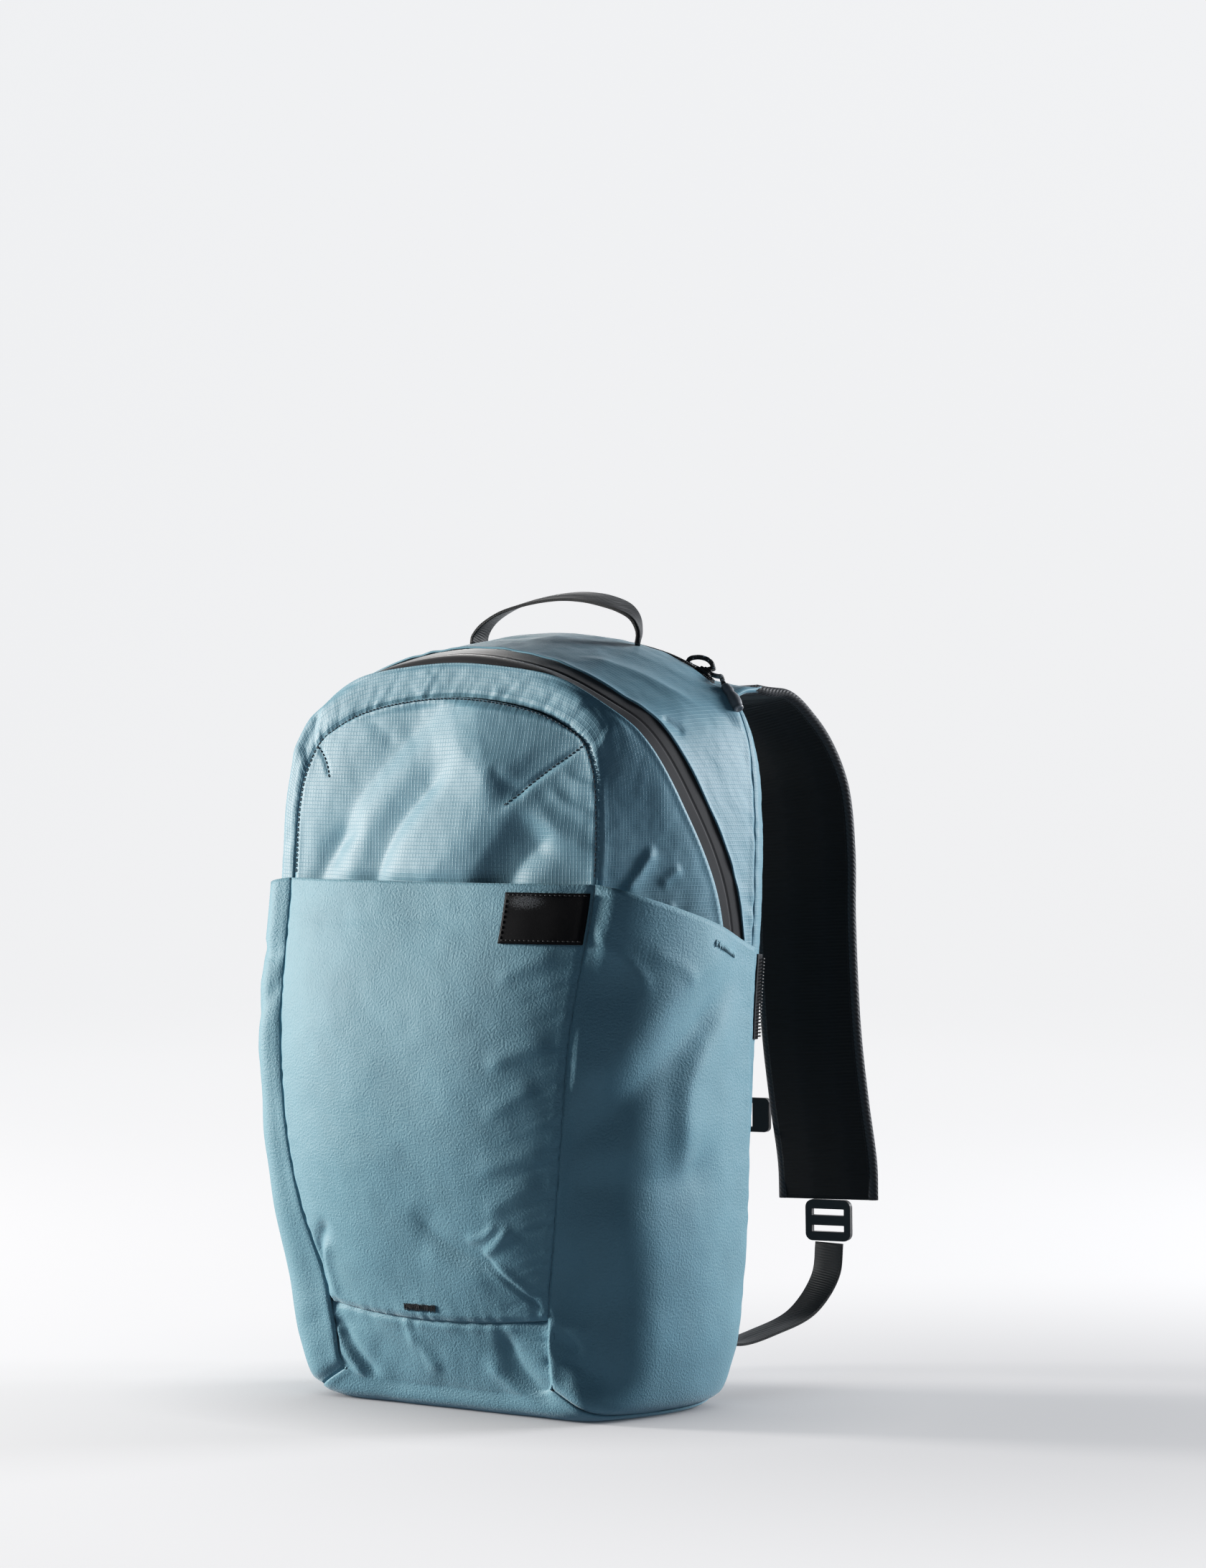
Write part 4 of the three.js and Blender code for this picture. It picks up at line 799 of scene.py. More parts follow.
def sewing_thread(name, colour):
    """Bonded polyester thread, twisted: a fine dull line."""
    made, tree, shader = shaded(name, colour, {"Roughness": 0.7, "Sheen Weight": 0.2})
    where = node(tree, "TexCoord").outputs["Object"]
    twist = node(tree, "TexNoise", {"Scale": 1800.0, "Detail": 1.0}, {"Vector": where})
    tint(tree, shader, colour, 0.3, twist.outputs["Fac"])
    emboss(tree, shader, twist.outputs["Fac"], 0.0001, 0.5)
    return made


def satin_label():
    """Damask label, satin woven: near black and smooth, with a painted reflection, an area along its upper edge that
    glitters grey.
    """
    colour = to_linear("#0C0C10")
    made, tree, shader = shaded("Polyester damask label, satin woven", colour, {
        "Roughness": 0.65, "Specular IOR Level": 0.08})
    places = cloth_places(tree)
    fine = node(tree, "TexNoise", {"Scale": 1.3, "Detail": 4.0, "Roughness": 0.75}, {"Vector": places})
    # The painted reflection, a grey glitter, lies along the upper edge, 28 mm wide and 11 mm high
    flattened = node(tree, "VectorMath", {"operation": "MULTIPLY", 1: (1, 2.6, 1)}, {0: places})
    away = node(tree, "VectorMath", {"operation": "DISTANCE", 1: (74, 287 * 2.6, 0)}, {0: flattened.outputs[0]})
    painted_reflection_patch = node(tree, "MapRange", {1: 5.0, 2: 22.0, 3: 1.0, 4: 0.3}, {0: away.outputs["Value"]})
    painted_reflection_speckle = node(tree, "Math", {"operation": "MULTIPLY"}, {0: fine.outputs["Fac"], 1: painted_reflection_patch.outputs[0]})
    level = node(tree, "MapRange", {1: 0.36, 2: 0.6, 3: 0.0, 4: 1.0}, {0: painted_reflection_speckle.outputs[0]})
    # Painted reflection: the grey that the glitter is painted in, mixed into the near-black colour
    grey = (*to_linear("#77787A"), 1)
    mixed = node(tree, "Mix", {"data_type": "RGBA", 6: (*colour, 1), 7: grey}, {0: level.outputs[0]})
    tree.links.new(mixed.outputs[2], shader.inputs["Base Color"])
    emboss(tree, shader, fine.outputs["Fac"], 0.0002, 0.6)
    return made


def finish_of(key):
    """Finish by its short name, made on first use."""
    colours = bpy.context.scene.daypack_colours
    makers = {
        "ripstop": lambda: ripstop_nylon(tuple(colours.ripstop)),
        "softshell": lambda: stretch_softshell(tuple(colours.softshell)),
        "tape": lambda: coated_tape(tuple(colours.tape)),
        "webbing": lambda: woven_webbing("Polyester webbing, twill woven", tuple(colours.webbing), 1.6, 1.0),
        "binding": lambda: woven_webbing("Nylon binding tape, woven", to_linear("#2C2D31"), 2.6, 1.0),
        "mesh": lambda: spacer_mesh(to_linear("#0B0C10")),
        "moulded": lambda: moulded_acetal("Acetal, moulded", tuple(colours.moulded), 0.42),
        # The pull end's soft PVC is really dark grey; its colour is painted lighter, painted light standing in for the
        # key light that the body keeps off it
        "rubber": lambda: moulded_acetal("Soft PVC, moulded", to_linear("#7C7E82"), 0.38),
        "coil": lambda: moulded_acetal("Nylon zip coil, extruded", to_linear("#1A1B1E"), 0.3),
        "cord": lambda: braided_cord(to_linear("#131417")),
        "thread": lambda: sewing_thread("Bonded thread, navy", to_linear("#1F2E3B")),
        "blue_thread": lambda: sewing_thread("Bonded thread, blue", to_linear("#8FB4C0")),
        "black_thread": lambda: sewing_thread("Bonded thread, black", to_linear("#131318")),
        "label": satin_label,
    }
    if key not in FINISHES:
        FINISHES[key] = makers[key]()
    return FINISHES[key]


FINISHES = {}
SURFACES = {}


def sized_folds(u, v, folds, crisp):
    return fold_height(u, v, folds, crisp) * bpy.context.scene.daypack_sizes.folds


def creases(u, v, seed, length, height, sharp):
    return crumple(u, v, seed, length, height, sharp) * bpy.context.scene.daypack_sizes.crumple


def strip_places(position, share, start, end):
    """Millimetres round the strip and away from its front edge."""
    wide = np.zeros(np.shape(position))
    last = ring_point(position, start(position))
    for step in np.linspace(0.125, 1, 8):
        point = ring_point(position, mix(start(position), end(position), step))
        wide = wide + np.linalg.norm(point - last, axis=-1)
        last = point
    return np.interp(position, RING_PLACES, RING_LENGTHS), share * wide, (1 - share) * wide


def tucked(shape, share, reach, amount, hold):
    """Cloth pulled flat from its front seam back, which cuts the body's round corner."""
    inside = np.clip(share / reach, 0, 1)
    chord = mix(shape(0 * share), shape(0 * share + reach), inside[..., None])
    return mix(shape(share), chord, (amount * (1 - inside ** hold))[..., None])


def ring_cloth(name, finish, slot, start, end, relief, places, columns, low=0.0, high=1.0, tuck=0.0):
    """Strip of the body round the top, between two edges, which may be tucked low on the right."""
    def base(position, share):
        shape = lambda part: ring_point(position, mix(start(position), end(position), part))
        if not tuck:
            return shape(share)
        low_right = smooth((TUCK_TOP - shape(0 * share)[..., 2]) / 45) * (position > 0)
        return tucked(shape, share, GUSSET_TUCK_REACH, tuck * low_right, 4)

    def height(position, share, point):
        return relief(*strip_places(position, share, start, end), point)

    surface = dressed(base, height)
    SURFACES[name] = surface
    weave = lambda u, v: np.stack(strip_places(u, v, start, end)[:2], -1)
    return cloth(name + "_cloth", surface, places, np.linspace(low, high, columns), weave,
                 finish_of(finish), slot, (name,))


class DAYPACK_OT_camera(bpy.types.Operator):
    """Sets the camera that looks at the pack's front and right side"""

    bl_idname = "daypack.camera"
    bl_label = "Camera"

    def execute(self, context):
        round_from_front, distance, height = math.radians(40), 2.9, 0.378
        turn, nod = math.atan((731 - 840) / 7090), math.atan((1092 - 1025) / 7090)
        ahead = Vector((-math.sin(round_from_front), math.cos(round_from_front), 0))
        across = Vector((math.cos(round_from_front), math.sin(round_from_front), 0))
        level = ahead * math.cos(turn) - across * math.sin(turn)
        right = across * math.cos(turn) + ahead * math.sin(turn)
        up = Vector((0, 0, 1)) * math.cos(nod) + level * math.sin(nod)
        back = right.cross(up)
        lens = bpy.data.cameras.new("camera")
        lens.lens = 36 * 7090 / 2184
        lens.clip_end = 20
        camera = bpy.data.objects.new("camera", lens)
        context.scene.collection.objects.link(camera)
        turned = Matrix((right, up, back)).transposed().to_4x4()
        place = -ahead * distance + Vector((0, -SHIFT / 1000, height))
        camera.matrix_world = Matrix.Translation(place) @ turned
        context.scene.camera = camera
        return {"FINISHED"}


def slider_seat():
    """Middle of the rear zip's slider, the way along the seam and the way off the cloth."""
    places = np.linspace(0, 0.35, 1401)
    widths = ring_point(places, REAR_CORNER)[:, 0]
    place = float(np.interp(ZIP_SLIDER_SPREAD, widths, places))
    depth = float(rear_seam(place) + depth_step(place, REAR_CORNER, REAR_ZIP_WIDTH) / 2)
    small = 1e-3
    point = ring_point(place, depth)
    along = unit(ring_point(place + small, depth) - point)
    off = unit(np.cross(ring_point(place, depth + small) - point, along))
    if off @ (point - core_line(point)) < 0:
        off = -off
    return point + off * (GAP + ZIP_SLIDER_THICKNESS / 2), along, off


class DAYPACK_OT_pull(bpy.types.Operator):
    """Makes the zip slider with its cord and moulded end"""

    bl_idname = "daypack.pull"
    bl_label = "Zip pull"

    def execute(self, context):
        middle, along, off = slider_seat()
        route = np.array([middle + np.array(p) for p in PULL_ROUTE])
        places, ways = spline(route, 36)
        curve = bpy.data.curves.new("pull_cord_braid", "CURVE")
        curve.dimensions = "3D"
        curve.bevel_depth = PULL_CORD_DIAMETER / 2000
        curve.bevel_resolution = 6
        curve.resolution_u = 4
        curve.use_fill_caps = True
        line = curve.splines.new("BEZIER")
        line.bezier_points.add(len(places) - 1)
        for point, place in zip(line.bezier_points, to_frame(places)):
            point.co = place
            point.handle_left_type = point.handle_right_type = "AUTO"
        curve.materials.append(finish_of("cord"))
        cord = bpy.data.objects.new("pull_cord_braid", curve)
        context.scene.collection.objects.link(cord)
        seat_piece(cord, ("pull_cord",))

        # Moulded end: neck, waist and a fat body with an open ring at its tip
        fall = unit(np.array(PULL_END_DROP))
        top = route[-1] + fall * (GAP + PULL_CORD_DIAMETER * 0.15)
        shares = (0, 0.02, 0.06, 0.16, 0.24, 0.29, 0.34, 0.40, 0.50, 0.64, 0.78, 0.86, 0.91, 0.95, 0.985, 1.0, 1.0, 0.97)
        radii = (1.0, 2.2, 2.7, 2.8, 3.1, 3.1, 2.5, 2.7, 3.5, 3.8, 3.6, 3.2, 2.8, 3.1, 3.0, 2.5, 1.4, 1.0)
        run = np.array(shares)[:, None] * PULL_END_LENGTH
        bow = np.array([0.4, 0.1, 0.25])
        centres = top + fall * run + bow * np.sin(np.pi * run / PULL_END_LENGTH)
        across = unit(np.cross(fall, np.array([0, 0, 1.0])))
        lift = np.cross(across, fall)
        circle = [(math.cos(a), math.sin(a)) for a in np.linspace(0, 2 * math.pi, 24, endpoint=False)]
        flat = np.array([(r, r * 0.92) for r in radii])
        end = sweep("pull_end_moulding", centres, np.tile(across, (len(shares), 1)), np.tile(lift, (len(shares), 1)),
                    circle, finish_of("rubber"), ("pull_end",), flat)
        soften(end, 1)

        # Slider: body, bridge and the two flanges beside the coil
        square = np.cross(off, along)
        parts = [
            box_part(middle - off * 0.9, along, square, off, (9.6, 6.6, 1.7), 0.7),
            box_part(middle + off * 0.5, along, square, off, (7.4, 3.6, 1.8), 0.8),
            box_part(middle + off * 1.5 + along * 1.2, along, square, off, (5.6, 2.0, 1.6), 0.7),
        ]
        # Eye that the cord is threaded through
        reach = np.array(PULL_ROUTE[0])
        out = unit(reach)
        level = unit(np.cross(out, along))
        parts.append(box_part(middle + reach * 0.55, out, np.cross(level, out), level,
                              (np.linalg.norm(reach) * 0.9 + 3, 3.6, 2.2), 0.9))
        slider = joined("zip_slider_casting", parts, finish_of("moulded"))
        seat_piece(slider, ("zip_slider",))
        return {"FINISHED"}


def soften(piece, levels):
    """Subdivision that rounds a coarse closed piece."""
    smoother = piece.modifiers.new("Rounded", "SUBSURF")
    smoother.levels = smoother.render_levels = levels


def box_part(centre, along, across, lift, size, bevel):
    """Rounded block as points and faces: a stack of rounded sections that draw in at both ends."""
    long, wide, thick = size
    rings = []
    turns = np.linspace(0, math.pi / 2, 4)
    levels = [(-thick / 2 + bevel * (1 - math.sin(t)), bevel * (1 - math.cos(t))) for t in turns[::-1]]
    levels = levels[::-1]
    levels = [(-thick / 2 + bevel * (1 - math.sin(math.pi / 2 - t)), bevel * (1 - math.cos(math.pi / 2 - t))) for t in turns]
    profile = levels + [(-z, inset) for z, inset in levels[::-1]]
    for z, inset in profile:
        outline = rounded_section(long - 2 * inset, wide - 2 * inset, bevel * 1.6, 5)
        rings.append([centre + along * x + across * y + lift * z for x, y in outline])
    count = len(rings[0])
    faces = grid_faces(len(rings), count, closed=True).tolist()
    faces += [list(range(count))[::-1], [(len(rings) - 1) * count + i for i in range(count)]]
    return np.array(rings).reshape(-1, 3), faces


def joined(name, parts, finish):
    """Several closed parts as one piece."""
    points, faces, start = [], [], 0
    for part_points, part_faces in parts:
        volume = 0
        for face in part_faces:
            for second, third in zip(face[1:], face[2:]):
                volume += part_points[face[0]] @ np.cross(part_points[second], part_points[third])
        points.append(part_points)
        faces += [[start + i for i in (face if volume > 0 else face[::-1])] for face in part_faces]
        start += len(part_points)
    return new_mesh(name, np.concatenate(points), faces, None, finish)


class DAYPACK_OT_front(bpy.types.Operator):
    """Makes the ripstop front panel above the pocket"""

    bl_idname = "daypack.front"
    bl_label = "Front panel"

    def execute(self, context):
        def base(share, station):
            point = front_surface(share, station)
            below = smooth((HEM + 0.15 - station) / 0.6)
            above = np.clip((station - BASE) / 0.8, 0, 1)
            point[..., 1] += POCKET_ROOM * (1 - share ** 2) * below * above
            return point

        def relief(share, station, point):
            x, z = point[..., 0], point[..., 2]
            sides = (1 - np.abs(share)) * skin(station, 0.0, 1.0)[..., 0]
            top = front_surface(share, np.full_like(station, SHOULDER))[..., 2] - z
            away = np.minimum(sides, top)
            right = np.where(share > 0, sides, 99)
            height = sized_folds(x, z, PANEL_FOLDS, 0.25) * smooth(away / 6)
            height = height + puckers(z, right, 6.2, 8, 0.4, 4) * smooth((362 - z) / 14)
            height = height + puckers(x, top, 5.2, 5, 0.2, 5)
            height = height + creases(x, z, 11, 60, 0.24, 0.25) * smooth(away / 8)
            return height + seam_roll(away, 0.7, 0.2)

        surface = dressed(base, relief)
        SURFACES["front_panel"] = surface
        shares = np.linspace(-1, 1, 200)
        stations = np.concatenate([np.linspace(BASE, HEM - 0.5, 16), np.linspace(HEM - 0.45, SHOULDER, 110)])
        weave = lambda u, v: base(u, v)[..., (0, 2)]
        cloth("front_panel_cloth", surface, shares, stations, weave, finish_of("ripstop"), "ripstop", ("front_panel",))

        # Needle stitches along the arch seam and down the two darts
        rows = [stitch_row(surface, np.linspace(-0.985, 0.985, 700), SHOULDER - 0.035, 0.5)]
        down = np.linspace(SHOULDER - 0.05, HEM + 0.05, 200)
        rows += [stitch_row(surface, np.full(200, side * 0.985), down, 0.4) for side in (-1, 1)]
        lines = [line for row in rows for line in row[0]]
        lifts = [lift for row in rows for lift in row[1]]
        strands("arch_stitches", lines, lifts, 500 * context.scene.daypack_sizes.thread, 6,
                finish_of("thread"))
        darts = [PANEL_FOLDS[7][3], PANEL_FOLDS[-1][3]]
        lines, lifts = [], []
        for dart in darts:
            line = spline(np.array([(*p, 0.0) for p in dart]), 60)[0]
            share, station = panel_parameters(line[:, 0], line[:, 1])
            row = stitch_row(surface, share, station, 0.35)
            lines += row[0]
            lifts += row[1]
        strands("dart_stitches", lines, lifts, 450 * context.scene.daypack_sizes.thread, 6,
                finish_of("thread"))
        return {"FINISHED"}


def panel_parameters(x, z):
    """Share and station of the front surface at millimetres across and up."""
    station = station_at(np.asarray(z, float))
    for _ in range(6):
        share = x / skin(station, 0.0, 1.0)[..., 0]
        miss = z - front_surface(share, station)[..., 2]
        station = np.clip(station + station_step(np.minimum(station, SHOULDER), miss) * 0.8, BASE, SHOULDER)
    return share, station


class DAYPACK_OT_gussets(bpy.types.Operator):
    """Makes the cloth strips round the top with the main zip between them"""

    bl_idname = "daypack.gussets"
    bl_label = "Gussets and main zip"

    def execute(self, context):
        low = RING_END + 0.022
        places = np.linspace(-low, low, 460)

        def front_relief(along, away, left, point):
            height = sized_folds(along, away, GUSSET_FOLDS, 0.6) * smooth(left / 6)
            height = height + puckers(along - 0.7 * away, away, 5.4, 5, 0.2, 21)
            height = height + puckers(along - 0.9 * away, away, 15, 13, 0.3, 22) * smooth((150 - np.abs(along)) / 30)
            height = height + creases(along, away, 23, 38, 0.3, 0.4) * smooth(away / 6) * smooth(left / 8)
            lap = 1.1 * np.exp(-(left / 2.2) ** 2)
            return height + seam_roll(away, 0.7, 0.5) + lap

        ring_cloth("front_gusset", "ripstop", "ripstop", lambda p: 0 * p, lambda p: zip_edge(p, -0.97),
                   front_relief, places, 44, tuck=TUCK)

        def tape_relief(along, away, left, point):
            middle = (away - left) / 2
            slit = -0.6 * np.exp(-(middle / 0.6) ** 2)
            ripple = 0.16 * np.sin(along / 11) * np.sin(along / 29 + 1) * (np.abs(middle) / 9)
            return slit + ripple - 0.5

        ring_cloth("main_zip", "tape", "zip_tape", lambda p: zip_edge(p, -1.04), lambda p: zip_edge(p, 1.04),
                   tape_relief, places, 27)

        def rear_relief(along, away, left, point):
            height = sized_folds(along, away, REAR_FOLDS, 0.6) * smooth(away / 5) * smooth(left / 5)
            height = height + creases(along, away, 31, 60, 0.42, 0.5) * smooth(away / 8) * smooth(left / 8)
            height = height + puckers(along + 0.4 * left, left, 19, 16, 0.35, 32)
            height = height + puckers(along, away, 24, 5, 0.35, 33)
            lap = 1.0 * np.exp(-(away / 2.0) ** 2)
            return height + lap + seam_roll(left, 0.8, 0.3)

        ring_cloth("rear_gusset", "ripstop", "ripstop", lambda p: zip_edge(p, 0.97), rear_seam,
                   rear_relief, places, 64)

        # Rear band, which steps back for the rear zip over the top
        zipped = float(np.interp(REAR_ZIP_SPREAD, ring_point(np.linspace(0, 0.35, 900), 1.0)[:, 0],
                                 np.linspace(0, 0.35, 900)))
        edge = lambda p: rear_seam(p) + depth_step(p, REAR_CORNER, REAR_ZIP_WIDTH) * smooth((zipped - np.abs(p)) / 0.006 + 0.5)

        def band_relief(along, away, left, point):
            height = creases(along, away, 41, 34, 0.4, 0.5) * smooth(away / 6)
            height = height + puckers(along, away, 14, 7, 0.3, 42)
            return height + seam_roll(away, 0.8, 0.3) + seam_roll(left, 0.8, 0.4)

        whole = np.linspace(-(1 - CORNER / TOP), 1 - CORNER / TOP, 620)
        ring_cloth("rear_band", "ripstop", "ripstop", edge, lambda p: 0 * p + 1, band_relief, whole, 16)

        def zip_relief(along, away, left, point):
            return -0.3 + 0.9 * np.exp(-((away - left) / 2 / 1.6) ** 2)

        over = np.linspace(-zipped, zipped, 160)
        ring_cloth("rear_zip", "tape", "zip_tape", rear_seam,
                   lambda p: rear_seam(p) + depth_step(p, REAR_CORNER, REAR_ZIP_WIDTH), zip_relief, over, 12)
        depth = lambda p: rear_seam(p) + depth_step(p, REAR_CORNER, REAR_ZIP_WIDTH) / 2
        coil("rear_zip_coil", lambda t: ring_point(t, depth(t)), over, 1.3)
        return {"FINISHED"}


def coil(name, place, span, pitch, lift=0.7, width=4.2):
    """Zip coil: small round teeth across a line on the body."""
    dense = np.linspace(span[0], span[-1], 600)
    points = place(dense)
    runs = length_of(points)
    at = np.interp(np.arange(pitch, runs[-1] - pitch, pitch), runs, dense)
    middle = place(at)
    along = unit(place(at + 1e-4) - middle)
    off = middle - core_line(middle)
    off = unit(off - along * np.sum(off * along, -1, keepdims=True))
    across = np.cross(along, off)
    lines, lifts = [], []
    bend = np.array([-1, -0.8, 0, 0.8, 1])[:, None] * width / 2
    rise = np.array([-0.5, 0.35, 0.75, 0.35, -0.5])[:, None]
    for centre, side, up in zip(middle + off * lift, across, off):
        lines.append(centre + bend * side + rise * up)
        lifts.append(np.tile(up, (5, 1)) * 0.2 + np.cross(side, up) * 0.0 + up * 0.8)
    return strands(name, lines, lifts, 0.48, 6, finish_of("coil"))


class DAYPACK_OT_pockets(bpy.types.Operator):
    """Makes the front pocket with its label and tack, and both side pockets"""

    bl_idname = "daypack.pockets"
    bl_label = "Pockets"

    def execute(self, context):
        def base(share, station):
            point = front_surface(share, station)
            near = np.abs(share)
            full = POCKET_FULLNESS * near ** 2 * (1 - near) * smooth((station - BASE) / 0.8)
            point[..., 1] -= WALL + 2 * GAP + full
            return point

        def relief(share, station, point):
            x, z = point[..., 0], point[..., 2]
            sides = (1 - np.abs(share)) * skin(station, 0.0, 1.0)[..., 0]
            bottom = z - front_surface(share, np.full_like(station, BASE))[..., 2]
            right = np.where(share > 0, sides, 99)
            left = np.where(share < 0, sides, 99)
            height = sized_folds(x, z, POCKET_FOLDS, 0.45) * smooth(np.minimum(sides, bottom) / 4)
            height = height + puckers(z + 0.5 * right, right, 9, 19, 0.36, 51) * smooth((275 - z) / 20)
            height = height + puckers(z, left, 13, 7, 0.3, 52)
            height = height + puckers(x, bottom, 12, 9, 0.35, 53)
            height = height + creases(x, z, 54, 90, 0.35, 0.1) * smooth(sides / 15)
            return height + seam_roll(sides, 0.6, 0.2) - 1.8 * np.exp(-(bottom / 2.2) ** 2)

        surface = dressed(base, relief)
        SURFACES["front_pocket"] = surface
        weave = lambda u, v: base(u, v)[..., (0, 2)]
        pocket = cloth("front_pocket_cloth", surface, np.linspace(-1, 1, 120), np.linspace(BASE, HEM, 140), weave,
                       finish_of("softshell"), "softshell", ("front_pocket",))

        # Label, sewn flat below the hem at the right seam
        hem = skin(HEM, 0.0, 1.0)[0]
        right = 1 - 1 / hem
        left = right - LABEL_WIDTH / hem
        top = HEM_HEIGHT - LABEL_DROP
        low, high = station_at(top - LABEL_HEIGHT), station_at(top)

        def label_relief(share, station, point):
            edge = np.minimum(share - left, right - share) * hem
            edge = np.minimum(edge, np.minimum(station - low, high - station) / station_step(station, 1.0))
            return relief(share, station, point) + 1.7 - 0.55 * np.exp(-(edge / 1.0) ** 2)

        label = dressed(base, label_relief)
        badge = cloth("label_cloth", label, np.linspace(left, right, 40), np.linspace(low, high, 24), weave,
                      finish_of("label"), "label", ("label",), 0.0008)
        inset = 1.6 / hem
        rise = station_step((low + high) / 2, 1.6)
        lines, lifts = [], []
        for us, vs in ((np.full(200, left + inset), np.linspace(low + rise, high - rise, 200)),
                       (np.linspace(left + inset, right, 200), np.full(200, low + rise)),
                       (np.linspace(left + inset, right, 200), np.full(200, high - rise))):
            row = stitch_row(label, us, vs, 0.15)
            lines += row[0]
            lifts += row[1]
        edge = strands("label_stitches", lines, lifts, 450 * context.scene.daypack_sizes.thread, 5,
                       finish_of("black_thread"))

        # Dense bar of zigzag stitches near the pocket's lower seam
        tack = bar_tack("pocket_tack", lambda x, z, lift: surface(*panel_parameters(x, z), lift=lift, with_normal=True),
                        (-15.6, 59.2), (7.6, 59.6), 3.4, finish_of("black_thread"))
        sheet_area(surface, np.linspace(-1, 1, 60), np.linspace(BASE, HEM, 60))
        for name, side in (("left", -1), ("right", 1)):
            self.side_pocket(name, side)
        return {"FINISHED"}

    def side_pocket(self, name, side):
        low = CORNER + station_step(CORNER, SIDE_TRIM)
        high = ZIP_END - station_step(ZIP_END, GAP / 2)

        def side_tucked(shape, share, row):
            if side < 0:
                return shape(share, row)
            amount = TUCK * smooth((0.95 - row) / 0.1) * smooth(row / 0.12)
            return tucked(lambda part: shape(part, row), share, TUCK_REACH, amount, 1)

        def plain_panel(share, row):
            point = side_point(mix(low, high, row), share, side)
            hollow = np.maximum(0, np.sin(np.pi * share) * np.sin(np.pi * row))
            point[..., 0] -= side * SIDE_HOLLOW * hollow
            return point

        def panel(share, row):
            return side_tucked(plain_panel, share, row)

        def panel_relief(share, row, point):
            edge = np.minimum(share, 1 - share) * 150
            return creases(point[..., 1], point[..., 2], 61, 50, 0.5, 0.4) - 1.2 * smooth((row - 0.8) * 5) - seam_dip(edge)

        weave = lambda u, v: panel(u, v)[..., (1, 2)]
        cloth(f"side_panel_{name}_cloth", dressed(panel, panel_relief), np.linspace(0, 1, 60), np.linspace(0, 1, 70),
              weave, finish_of("ripstop"), "ripstop", (f"side_panel_{name}",))

        slant = station_step(HEM, SIDE_POCKET_SLANT)
        start = low + station_step(low, SIDE_TRIM)

        def pocket(share, row):
            return side_tucked(plain_pocket, share, row)

        def plain_pocket(share, row):
            station = mix(start, HEM - slant * np.maximum(0, share) ** 1.2, row)
            small = 0.01
            point = side_point(station, share, side)
            rise = side_point(station + small, share, side) - point
            across = side_point(station, share + small, side) - point
            normal = unit(np.cross(rise, across))
            level = np.abs(normal[..., 0]) > 0.2
            flip = np.where(level, normal[..., 0] * side < 0, normal[..., 1] > 0)
            normal = np.where(flip[..., None], -normal, normal)
            swell = np.maximum(0, np.sin(np.pi * np.clip(share, 0, 1))) ** (1.2 if side < 0 else 2.0)
            fill = np.clip(row * 1.6, 0, 1) ** 1.5 + MOUTH_FLARE * row
            # At the corner seam the pocket meets the front pocket's edge
            free = smooth(share / 0.05)[..., None]
            seam = np.array([0, -(WALL + 2 * GAP), 0])
            point = point + mix(seam, normal * (WALL + 1.5 * GAP), free)
            point = point + normal * (SIDE_POCKET_ROOM * swell * fill)[..., None]
            point[..., 2] = np.maximum(point[..., 2], GAP + WALL * (1 - np.abs(normal[..., 2])))
            return point

        def across_of(share, row):
            """Millimetres from the front seam and from there to the rear seam, along the cloth."""
            station = mix(start, HEM, row)
            lengths = []
            for end in (share, 1 + 0 * share):
                line = [side_point(station, end * step, side) for step in np.linspace(0, 1, 8)]
                lengths.append(sum(np.linalg.norm(b - a, axis=-1) for a, b in zip(line, line[1:])))
            return lengths

        def relief(share, row, point):
            along, wide = across_of(share, row)
            z = point[..., 2]
            edge = np.minimum(along, wide - along)
            height = sized_folds(along, z, SIDE_FOLDS, 0.2) * smooth(edge / 6)
            if side < 0:
                height = 0.15 * height + sized_folds(along, z, LEFT_MOUTH_FOLDS, 0.5) * smooth(edge / 2)
            height = height + puckers(z, along, 34, 12, 0.15, 62 + side) + puckers(z, wide - along, 18, 10, 0.3, 64 + side)
            height = height + creases(along, z, 66 + side, 80, 0.25, 0.1) * smooth(edge / 12)
            height = height * smooth(row * 8) - 2.6 * np.exp(-(row * 40) ** 2)
            return height + seam_roll(edge, 0.6, 0.2)

        surface = dressed(pocket, relief)
        SURFACES[f"side_pocket_{name}"] = surface
        weave = lambda u, v: np.stack([across_of(u, v)[0], pocket(u, v)[..., 2]], -1)
        shares = np.linspace(0.0, 0.995, 84)
        piece = cloth(f"side_pocket_{name}_cloth", surface, shares, np.linspace(0, 1, 120), weave,
                      finish_of("softshell"), "softshell", (f"side_pocket_{name}",))
        grid = np.meshgrid(np.linspace(0, 1, 300), np.linspace(0.4, 1, 300))
        where = np.stack([across_of(*grid)[0], pocket(*grid)[..., 2]], -1).reshape(-1, 2)

        def place(across, height, lift):
            nearest = [np.argmin(np.hypot(where[:, 0] - a, where[:, 1] - h)) for a, h in zip(across, height)]
            return surface(grid[0].ravel()[nearest], grid[1].ravel()[nearest], lift=lift, with_normal=True)

        tack = bar_tack(f"side_tack_{name}", place, (77, 264.5), (105, 256.0), 3.0, finish_of("blue_thread"))
        sheet_area(surface, np.linspace(0, 1, 60), np.linspace(0, 1, 60))


def seam_dip(away):
    return 1.2 * np.exp(-(away / 1.5) ** 2)


def sheet_area(surface, us, vs):
    """Area of a cloth in square metres, from a coarse grid that leaves out the grain."""
    points = surface(*np.meshgrid(us, vs))
    across, along = np.diff(points, axis=1)[:-1], np.diff(points, axis=0)[:, :-1]
    return float(np.sum(np.linalg.norm(np.cross(across, along), axis=-1))) / 1e6


